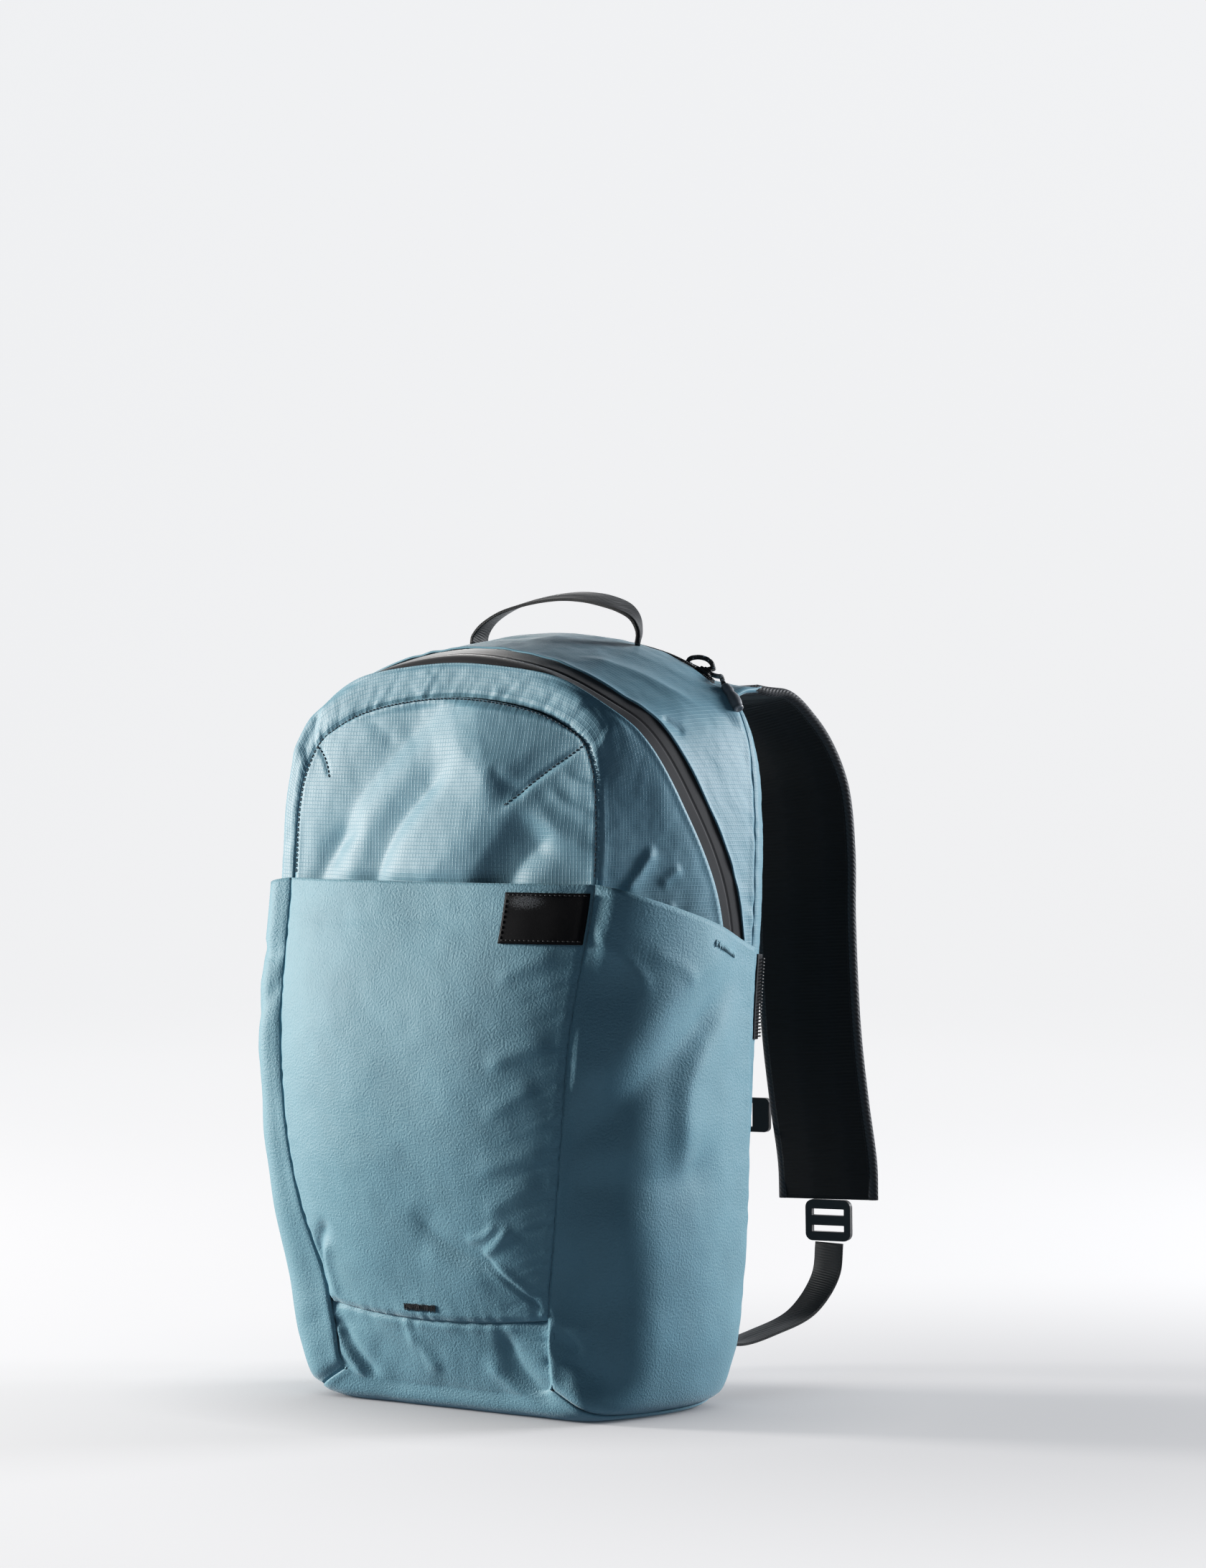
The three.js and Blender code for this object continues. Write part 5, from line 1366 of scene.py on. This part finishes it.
def bar_tack(name, place, start, end, height, finish):
    """Dense bar of zigzag stitches between two places on a cloth."""
    random = np.random.default_rng(7)
    count = 46
    share = np.linspace(0, 1, count)
    swing = np.where(np.arange(count) % 2 == 0, -0.5, 0.5) * height * random.uniform(0.8, 1.1, count)
    way = np.array(end) - np.array(start)
    across = np.array([-way[1], way[0]]) / np.linalg.norm(way)
    spots = np.array(start) + share[:, None] * way + swing[:, None] * across
    points, normals = place(spots[:, 0], spots[:, 1], 0.55)
    centre = np.array(start) + share[:, None] * way
    under, off = place(centre[:, 0], centre[:, 1], 0.35)
    return strands(name, [points, under], [normals, off], 0.42, 6, finish)


class DAYPACK_OT_base(bpy.types.Operator):
    """Makes the softshell base panel and the back panel"""

    bl_idname = "daypack.base"
    bl_label = "Base and back panels"

    def execute(self, context):
        def base(share, row):
            side = np.where(share < 0, -1.0, 1.0)
            near = np.abs(share)
            under = skin(CORNER * near, np.clip(row, 0, 1), side)
            station = mix(CORNER, BASE, np.clip(-row, 0, 1))
            edge = skin(station, 0.0, 1.0)
            corner = skin(float(CORNER), 0.0, 1.0)
            below = skin(CORNER * near, 0.0, 1.0)
            drop = 1 + np.minimum(row, 0)
            bulge = (column(OUTLINE, "bulge", station) - column(OUTLINE, "bulge", float(CORNER)) * drop) * PANEL_BULGE
            x = share * edge[..., 0] + drop * (side * below[..., 0] - share * corner[0])
            y = edge[..., 1] + drop * (below[..., 1] - corner[1]) - bulge * (1 - near * near)
            z = edge[..., 2] + drop * (below[..., 2] - corner[2]) + seam_sag(share, BASE + 0 * station) * (1 - drop)
            front = np.stack([x, y, z], -1)
            return np.where((row < 0)[..., None], front, under)

        def places(share, row):
            point = base(share, row)
            back = np.maximum(0, point[..., 1] + 0.74 * FRONT_DEPTH)
            return point[..., 0], point[..., 2] - back * (row > 0)

        def relief(share, row, point):
            x, z = places(share, row)
            sides = np.maximum(0, 1 - np.abs(share)) * 90
            seam = np.where(row < 0, (row + 1) * 40, 40)
            front = smooth((0.12 - row) / 0.2)
            height = sized_folds(x, z, BASE_FOLDS, 0.4) * smooth(np.minimum(sides, seam) / 3)
            height = height + puckers(x, seam, 16, 12, 0.5, 71) + puckers(z, sides, 12, 10, 0.7, 72)
            height = height + creases(x, z, 73, 60, 0.4, 0.1) * smooth(sides / 8)
            return height * front + seam_roll(seam, 0.8, 0.4) * front + 0.6 * np.exp(-(sides / 4) ** 2)

        above = lambda point: np.stack([0 * point[..., 0], 0 * point[..., 1], np.maximum(point[..., 2], 88)], -1)
        rows = np.concatenate([np.linspace(-1, 0, 44)[:-1], np.linspace(0, 0.3, 20)[:-1], np.linspace(0.3, 1, 24)])
        weave = lambda u, v: np.stack(places(u, v), -1)
        surface = dressed(base, relief, above)
        SURFACES["base_panel"] = surface
        cloth("base_panel_cloth", surface, np.linspace(-1.035, 1.035, 116), rows, weave, finish_of("softshell"),
              "softshell", ("base_panel",))

        def back(share, station):
            bulge = column(OUTLINE, "bulge", station) * BACK_BULGE
            return closure(1.0, share, station, bulge)

        def back_relief(share, station, point):
            x, z = point[..., 0], point[..., 2]
            sides = (1 - np.abs(share)) * skin(station, 1.0, 1.0)[..., 0]
            top = closure(1.0, share, np.full_like(station, SHOULDER), 0.0)[..., 2] - z
            bottom = z - closure(1.0, share, np.full_like(station, CORNER), 0.0)[..., 2]
            away = np.minimum(sides, np.minimum(top, bottom))
            height = creases(x, z, 81, 70, 0.9, 0.3) * smooth(away / 8)
            return height + puckers(z, sides, 17, 12, 0.6, 82) + seam_roll(away, 1.6, 0.6)

        weave = lambda u, v: back(u, v)[..., (0, 2)]
        cloth("back_panel_cloth", dressed(back, back_relief), np.linspace(-1, 1, 100), np.linspace(CORNER, SHOULDER, 170),
              weave, finish_of("ripstop"), "ripstop", ("back_panel",))
        return {"FINISHED"}


def strap_frames(side, count):
    """Frames of one shoulder strap, whose outer edge turns away from the back."""
    drop = STRAP_ROOT_HEIGHT - STRAP_END_HEIGHT
    points = np.stack([
        mix(STRAP_ROOT_SPREAD, STRAP_END_SPREAD, np.array(STRAP_PATH["spread"])),
        REAR_DEPTH + np.array(STRAP_PATH["back"]) * STRAP_REACH,
        STRAP_ROOT_HEIGHT - np.array(STRAP_PATH["down"]) * drop,
    ], -1)
    centres, along = spline(points, count)
    row = np.minimum(1, (STRAP_ROOT_HEIGHT - centres[:, 2]) / drop)
    turn = STRAP_TURN * np.clip(row / 0.2, 0, 1)
    wanted = np.stack([np.cos(turn), np.sin(turn), 0 * turn], -1)
    lift = unit(np.cross(along, wanted))
    across = unit(np.cross(lift, along))
    flip = np.array([side, 1, 1])
    return centres * flip, across * flip, lift * flip


def webbing_frames(points, count, wanted):
    """Frames of a flat band along a smooth curve."""
    centres, along = spline(np.array(points, float), count)
    wanted = np.broadcast_to(np.array(wanted, float), centres.shape)
    lift = unit(np.cross(along, wanted))
    return centres, unit(np.cross(lift, along)), lift


class DAYPACK_OT_handle(bpy.types.Operator):
    """Makes the haul handle on the top ridge"""

    bl_idname = "daypack.handle"
    bl_label = "Haul handle"

    def execute(self, context):
        low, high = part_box("haul_handle")
        along, rise = np.array(HANDLE_PATH["along"]), np.array(HANDLE_PATH["rise"])
        half = HANDLE_SPAN / 2
        points = np.stack([along * half, rise * HANDLE_RISE * HANDLE_LEAN, rise * HANDLE_RISE], -1)
        # Both feet run on into the cloth, where they are sewn in
        sunk = points[[0, -1]] - np.array([0, 1.2, 6.0])
        centres, ways = spline(np.concatenate([sunk[:1], points, sunk[1:]]), 78)
        row = np.interp(centres[:, 0] / half, column(HANDLE_PATH, "along", np.linspace(0, 9, 901)), np.linspace(0, 9, 901))
        twist = column(HANDLE_PATH, "twist", row)
        wanted = np.stack([-np.sin(twist), np.cos(twist), 0 * twist + math.sin(HANDLE_LEAN)], -1)
        lift = unit(np.cross(ways, wanted))
        across = unit(np.cross(lift, ways))
        centres = centres + np.array([0, 0, 1000 * high.z - centres[:, 2].max() - WEBBING_THICKNESS / 2])
        spot = (low.y + high.y) * 500 + SHIFT
        middle = centres[:, 1] + 0
        reach = np.abs(across[:, 1]) * WEBBING_WIDTH / 2
        centres[:, 1] += spot - ((middle - reach).min() + (middle + reach).max()) / 2
        # The webbing is pinched where each foot goes into the cloth, the right one more
        run = np.linspace(0, 1, len(centres))
        width = 1 - 0.38 * smooth((run - 0.78) / 0.2) - 0.18 * smooth((0.2 - run) / 0.2)
        sweep("haul_handle_webbing", centres, across, lift, rounded_section(WEBBING_WIDTH, WEBBING_THICKNESS, 0.8),
              finish_of("webbing"), ("haul_handle",), np.stack([width, 1 / width], -1))
        return {"FINISHED"}


class DAYPACK_OT_straps(bpy.types.Operator):
    """Makes both shoulder straps with their yokes, bindings and lower webbings"""

    bl_idname = "daypack.straps"
    bl_label = "Shoulder straps"

    def execute(self, context):
        for name, side in (("left", -1), ("right", 1)):
            centres, across, lift = strap_frames(side, 120)
            root, root_across = centres[0], across[0]
            # The pad runs on below the yoke, nearly to the pack
            back = unit(centres[0] - centres[2]) * np.array([1, 1, 0])
            laps = [root + back * LAP * part - np.array([0, 0, LAP_DROP * part]) for part in (1, 0.75, 0.5, 0.25)]
            centres = np.concatenate([laps, centres])
            across = np.concatenate([across[:1]] * 4 + [across])
            lift = np.concatenate([lift[:1]] * 4 + [lift])
            run = np.linspace(0, 1, len(centres))
            ends = smooth(run * 18) * smooth((1 - run) * 18)
            scale = np.stack([0.93 + 0 * run, 0.55 + 0.45 * ends], -1)
            pad = sweep(f"strap_pad_{name}", centres, across, lift,
                        rounded_section(STRAP_WIDTH, STRAP_THICKNESS, 2.9, 7), finish_of("mesh"),
                        (f"shoulder_strap_{name}",), scale)
            for edge, place in (("inner", -1), ("outer", 1)):
                middle = centres + across * place * (STRAP_WIDTH / 2 - 3.2)
                sweep(f"strap_binding_{edge}_{name}", middle, across, lift, rounded_section(6.4, 5.6, 2.7, 6),
                      finish_of("binding"), (), np.stack([0 * run + 1, 0.75 + 0.25 * ends], -1))
            self.yoke(name, side, root, root_across)
            self.lower_webbing(name, side)
            for node_name in (f"strap_lock_{name}", f"sternum_slider_{name}"):
                dress_node(node_name, finish_of("moulded"), 0.0007)
        return {"FINISHED"}

    def yoke(self, name, side, root, root_across):
        half = STRAP_WIDTH / 2
        places = np.linspace(0, 0.5, 2001)
        rim = ring_point(places, 1.0)

        def base(share, run):
            width = abs(root[0]) + share * half
            place = np.interp(width, rim[:, 0], places)
            start = ring_point(place, 1.0)
            start[..., 1] += GAP + 2
            start[..., 0] *= side
            to = root + root_across * (share * half)[..., None]
            to = to + np.array([0, -2.5 * GAP, YOKE_THICKNESS / 2])
            arch = np.sin(np.pi * np.clip(run, 0, 1)) * YOKE_THICKNESS * 0.8
            point = mix(start, to, run[..., None])
            point[..., 2] += arch
            return point

        def relief(share, run, point):
            edge = (1 - np.abs(share)) * half
            return (creases(share * half, run * 30, 91, 22, 0.35, 0.4) + puckers(share * half, run * 30, 7, 8, 0.4, 92)
                    + seam_roll(edge, 1.0, 0.3))

        under = lambda point: point - np.array([0, 0, 50])
        weave = lambda u, v: np.stack([u * half, v * 30], -1)
        cloth(f"yoke_{name}_cloth", dressed(base, relief, under), np.linspace(-1, 1, 46), np.linspace(-0.04, 1.08, 26),
              weave, finish_of("ripstop"), "ripstop", (f"yoke_{name}",), 0.0028)

    def lower_webbing(self, name, side):
        centres, across, lift = strap_frames(1, 27)
        down = unit(centres[-1] - centres[-2])
        lock_end = centres[-1] + down * (LOCK_LENGTH + 3 * GAP)
        corner = skin(float(station_at(ANCHOR_HEIGHT)), 1.0, 1.0)
        anchor = np.array([corner[0] - WEBBING_WIDTH * 0.7, corner[1] + BACK_BULGE + GAP, corner[2]])
        between = lambda back, rise: np.array([
            mix(anchor[0], lock_end[0], back), mix(anchor[1], lock_end[1], back), mix(anchor[2], lock_end[2], rise)])
        points = [lock_end, between(0.97, 0.62), between(0.78, 0.22), between(0.45, 0.02), between(0.18, -0.06), anchor]
        flip = np.array([side, 1, 1])
        middle, wide, up = webbing_frames([p * flip for p in points], 60, (1, 0, 0))
        sweep(f"lower_webbing_{name}", middle, wide, up, rounded_section(WEBBING_WIDTH, WEBBING_THICKNESS, 0.8),
              finish_of("webbing"), (f"strap_webbing_{name}",))


def dress_node(name, finish, bevel):
    """A moulded solid of the frame keeps its shape and gets its finish and softened edges."""
    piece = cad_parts[name]
    piece.data.materials.clear()
    piece.data.materials.append(finish)
    weld = piece.modifiers.new("Weld", "WELD")
    weld.merge_threshold = 1e-6
    edge = piece.modifiers.new("Edges", "BEVEL")
    edge.width = bevel
    edge.segments = 3
    edge.limit_method = "ANGLE"
    edge.angle_limit = math.radians(40)
    edge.harden_normals = False


class DAYPACK_OT_sternum(bpy.types.Operator):
    """Makes the sternum webbings and their buckle"""

    bl_idname = "daypack.sternum"
    bl_label = "Sternum strap"

    def execute(self, context):
        for name in ("left", "right"):
            low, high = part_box(f"sternum_webbing_{name}")
            a = 1000 * np.array(low) + np.array([0, SHIFT, 0])
            b = 1000 * np.array(high) + np.array([0, SHIFT, 0])
            outer, inner = (a[0], b[0]) if name == "left" else (b[0], a[0])
            level = (a[2] + b[2]) / 2
            slope = (b[2] - a[2] - STERNUM_WEBBING_WIDTH) / 2
            front, rear = a[1] + 1.0, b[1] - 1.0
            start = np.array([outer, front, level + slope])
            end = np.array([inner, rear, level - slope])
            points = [start, mix(start, end, 0.12) - np.array([0, 0.6, 0]), mix(start, end, 0.55) + np.array([0, 1.0, -0.5]),
                      mix(start, end, 0.9) + np.array([0, 0.6, 0]), end]
            middle, wide, up = webbing_frames(points, 40, (0, 0, 1))
            sweep(f"sternum_band_{name}", middle, wide, up, rounded_section(STERNUM_WEBBING_WIDTH, WEBBING_THICKNESS, 0.8),
                  finish_of("webbing"), (f"sternum_webbing_{name}",))
        low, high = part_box("sternum_buckle")
        centre = 500 * (np.array(low) + np.array(high)) + np.array([0, SHIFT, 0])
        x, y, z = np.eye(3)
        shell = BUCKLE_WIDTH * 0.56
        parts = [
            box_part(centre + x * (BUCKLE_WIDTH - shell) / 2, x, z, -y, (shell, BUCKLE_HEIGHT * 0.8, 5.6), 1.6),
            box_part(centre - x * BUCKLE_WIDTH * 0.36, x, z, -y, (BUCKLE_WIDTH * 0.26, BUCKLE_HEIGHT * 0.84, 4.4), 1.4),
        ]
        for place in (-1, 1):
            prong = centre - x * BUCKLE_WIDTH * 0.08 + z * place * BUCKLE_HEIGHT * 0.36
            parts.append(box_part(prong, x, z, -y, (BUCKLE_WIDTH * 0.5, 4.4, 3.8), 1.3))
            parts.append(box_part(prong - x * 1.5 + z * place * 1.6, x, z, -y, (7.0, 2.8, 4.6), 1.1))
        for index in range(3):
            parts.append(box_part(centre + x * (6 + 3.2 * index) - y * 2.9, x, z, -y, (1.1, BUCKLE_HEIGHT * 0.5, 0.8), 0.35))
        buckle = joined("sternum_clasp", parts, finish_of("moulded"))
        seat_piece(buckle, ("sternum_buckle",))
        return {"FINISHED"}


class DAYPACK_OT_side_zips(bpy.types.Operator):
    """Makes the two short coil zips at the rear corners"""

    bl_idname = "daypack.side_zips"
    bl_label = "Side zips"

    def execute(self, context):
        for name, side in (("left", -1), ("right", 1)):
            ends = side * (1 - station_at(np.array([SIDE_ZIP_BOTTOM, SIDE_ZIP_TOP])) / TOP)
            places = np.linspace(ends[0], ends[1], 60)
            edge = lambda share: lambda p: REAR_CORNER + depth_step(p, REAR_CORNER, share)
            base = lambda p, share: ring_point(p, mix(edge(-4.6)(p), edge(4.6)(p), share))
            relief = lambda p, share, point: 0.6 + 1.6 * np.exp(-((share - 0.5) / 0.22) ** 2)
            weave = lambda u, v: np.stack([np.interp(u, RING_PLACES, RING_LENGTHS), v * 9.2], -1)
            tape = dressed(base, relief)
            cloth(f"side_zip_{name}_tape", tape, places, np.linspace(0, 1, 14), weave,
                  finish_of("tape"), "zip_tape", (f"side_zip_{name}",))
            coil(f"side_zip_{name}_coil", lambda t: tape(t, 0.5 + 0 * t), places, 1.9, 0.5, 4.4)
        return {"FINISHED"}


class DAYPACK_OT_stage(bpy.types.Operator):
    """Sets the pale floor, its backdrop and the soft studio lights"""

    bl_idname = "daypack.stage"
    bl_label = "Stage"

    def execute(self, context):
        turn = math.radians(40)
        ahead = np.array([-math.sin(turn), math.cos(turn), 0])
        across = np.array([math.cos(turn), math.sin(turn), 0])
        profile = [(-6.0, 0.0), (4.0, 0.0)]
        profile += [(4.0 + 1.5 * math.sin(a), 1.5 - 1.5 * math.cos(a)) for a in np.linspace(0.1, math.pi / 2, 14)]
        profile += [(5.5, 6.0)]
        points = [ahead * y + across * x + np.array([0, 0, z]) for y, z in profile for x in (-8, 8)]
        made, tree, shader = shaded("Seamless paper, matt", to_linear("#A3A2A4"), {
            "Roughness": 0.9, "Specular IOR Level": 0.05, "Emission Color": (*to_linear("#F0F0F1"), 1)})
        where = node(tree, "TexCoord").outputs["Object"]
        far = node(tree, "VectorMath", {"operation": "LENGTH"}, {0: where})
        # The lamps reach the paper less farther back, where its own glow makes up for it
        glow = node(tree, "MapRange", {"interpolation_type": "SMOOTHSTEP", 1: 0.3, 2: 3.2, 3: 0.7, 4: 0.95},
                    {0: far.outputs["Value"]})
        # Painted shadow: next to the pack the paper's glow is dimmed into a painted contact shadow, and dimmed most on
        # the side away from the key light into a painted cast shadow
        painted_contact_shadow = node(tree, "AmbientOcclusion", {"samples": 8, "Distance": 0.12})
        near = node(tree, "Math", {"operation": "MULTIPLY"}, {0: glow.outputs[0], 1: painted_contact_shadow.outputs["AO"]})
        painted_lee_shadow_distance = node(tree, "VectorMath", {"operation": "DISTANCE", 1: (0.30, 0.16, 0)}, {0: where})
        shade = node(tree, "MapRange", {"interpolation_type": "SMOOTHSTEP", 1: 0.0, 2: 0.75, 3: 0.48, 4: 1.0},
                     {0: painted_lee_shadow_distance.outputs["Value"]})
        total = node(tree, "Math", {"operation": "MULTIPLY"}, {0: near.outputs[0], 1: shade.outputs[0]})
        tree.links.new(total.outputs[0], shader.inputs["Emission Strength"])
        grain = node(tree, "TexNoise", {"Scale": 900.0, "Detail": 1.0}, {"Vector": where})
        emboss(tree, shader, grain.outputs["Fac"], 0.00002, 0.2)
        mesh = bpy.data.meshes.new("studio_floor")
        mesh.from_pydata([tuple(p) for p in points], [], grid_faces(len(profile), 2).tolist())
        mesh.polygons.foreach_set("use_smooth", [True] * len(mesh.polygons))
        mesh.materials.append(made)
        floor = bpy.data.objects.new("studio_floor", mesh)
        context.scene.collection.objects.link(floor)
        floor.visible_diffuse = False

        # Names, azimuth from the front, elevation, distance, size, power, warmth
        lights = (
            ("key_softbox", -66, 10, 2.4, 0.5, 101, "#FFFCF8"),
            ("rim_softbox", 148, 15, 2.2, 0.8, 62, "#FAFCFF"),
        )
        centre = Vector((0, -SHIFT / 1000, 0.22))
        for name, azimuth, elevation, distance, size, power, tone in lights:
            lamp = bpy.data.lights.new(name, "AREA")
            lamp.shape = "SQUARE"
            lamp.size = size
            lamp.energy = power
            lamp.color = to_linear(tone)
            a, e = math.radians(azimuth), math.radians(elevation)
            way = Vector((math.sin(a) * math.cos(e), -math.cos(a) * math.cos(e), math.sin(e)))
            made = bpy.data.objects.new(name, lamp)
            made.location = centre + way * distance
            made.rotation_euler = way.to_track_quat("Z", "Y").to_euler()
            context.scene.collection.objects.link(made)
        world = bpy.data.worlds.new("studio")
        context.scene.world = world
        world.use_nodes = True
        backdrop = world.node_tree.nodes["Background"]
        backdrop.inputs[0].default_value = (*to_linear("#AEC6DA"), 1)
        # The white floor throws more light up than the dim ceiling throws down
        way = node(world.node_tree, "SeparateXYZ", links={0: node(world.node_tree, "TexCoord").outputs["Generated"]})
        level = node(world.node_tree, "MapRange", {1: -1.0, 2: 1.0, 3: 0.42, 4: 0.08}, {0: way.outputs[2]})
        world.node_tree.links.new(level.outputs[0], backdrop.inputs[1])

        # A print-like tone curve: deeper shades and softer lights
        view = context.scene.view_settings
        view.view_transform = "Standard"
        view.use_curve_mapping = True
        tones = view.curve_mapping.curves[3]
        for at, tone in ((0.06, 0.048), (0.16, 0.15), (0.42, 0.45), (0.72, 0.745)):
            tones.points.new(at, tone)
        tones.points[-1].location = (1.0, 0.955)
        view.curve_mapping.update()
        return {"FINISHED"}


OPERATORS = (
    DAYPACK_OT_camera, DAYPACK_OT_pull, DAYPACK_OT_front, DAYPACK_OT_gussets, DAYPACK_OT_pockets, DAYPACK_OT_base,
    DAYPACK_OT_handle, DAYPACK_OT_straps, DAYPACK_OT_sternum, DAYPACK_OT_side_zips, DAYPACK_OT_stage,
)


class DAYPACK_PT_sidebar(bpy.types.Panel):
    """Lists the pieces, sizes and colours of the daypack"""

    bl_idname = "DAYPACK_PT_sidebar"
    bl_label = "Daypack"
    bl_space_type = "VIEW_3D"
    bl_region_type = "UI"
    bl_category = "Daypack"

    def draw(self, context):
        for group in (context.scene.daypack_sizes, context.scene.daypack_colours):
            for key in group.__annotations__:
                self.layout.prop(group, key)
        for operator in OPERATORS:
            self.layout.operator(operator.bl_idname)


CLASSES = (DaypackSizes, DaypackColours, *OPERATORS, DAYPACK_PT_sidebar)


def register():
    for cls in CLASSES:
        bpy.utils.register_class(cls)
    bpy.types.Scene.daypack_sizes = bpy.props.PointerProperty(type=DaypackSizes)
    bpy.types.Scene.daypack_colours = bpy.props.PointerProperty(type=DaypackColours)


def unregister():
    del bpy.types.Scene.daypack_colours
    del bpy.types.Scene.daypack_sizes
    for cls in reversed(CLASSES):
        bpy.utils.unregister_class(cls)


def main():
    register()
    for operator in OPERATORS:
        group, name = operator.bl_idname.split(".")
        getattr(getattr(bpy.ops, group), name)()


if __name__ == "__main__":
    main()
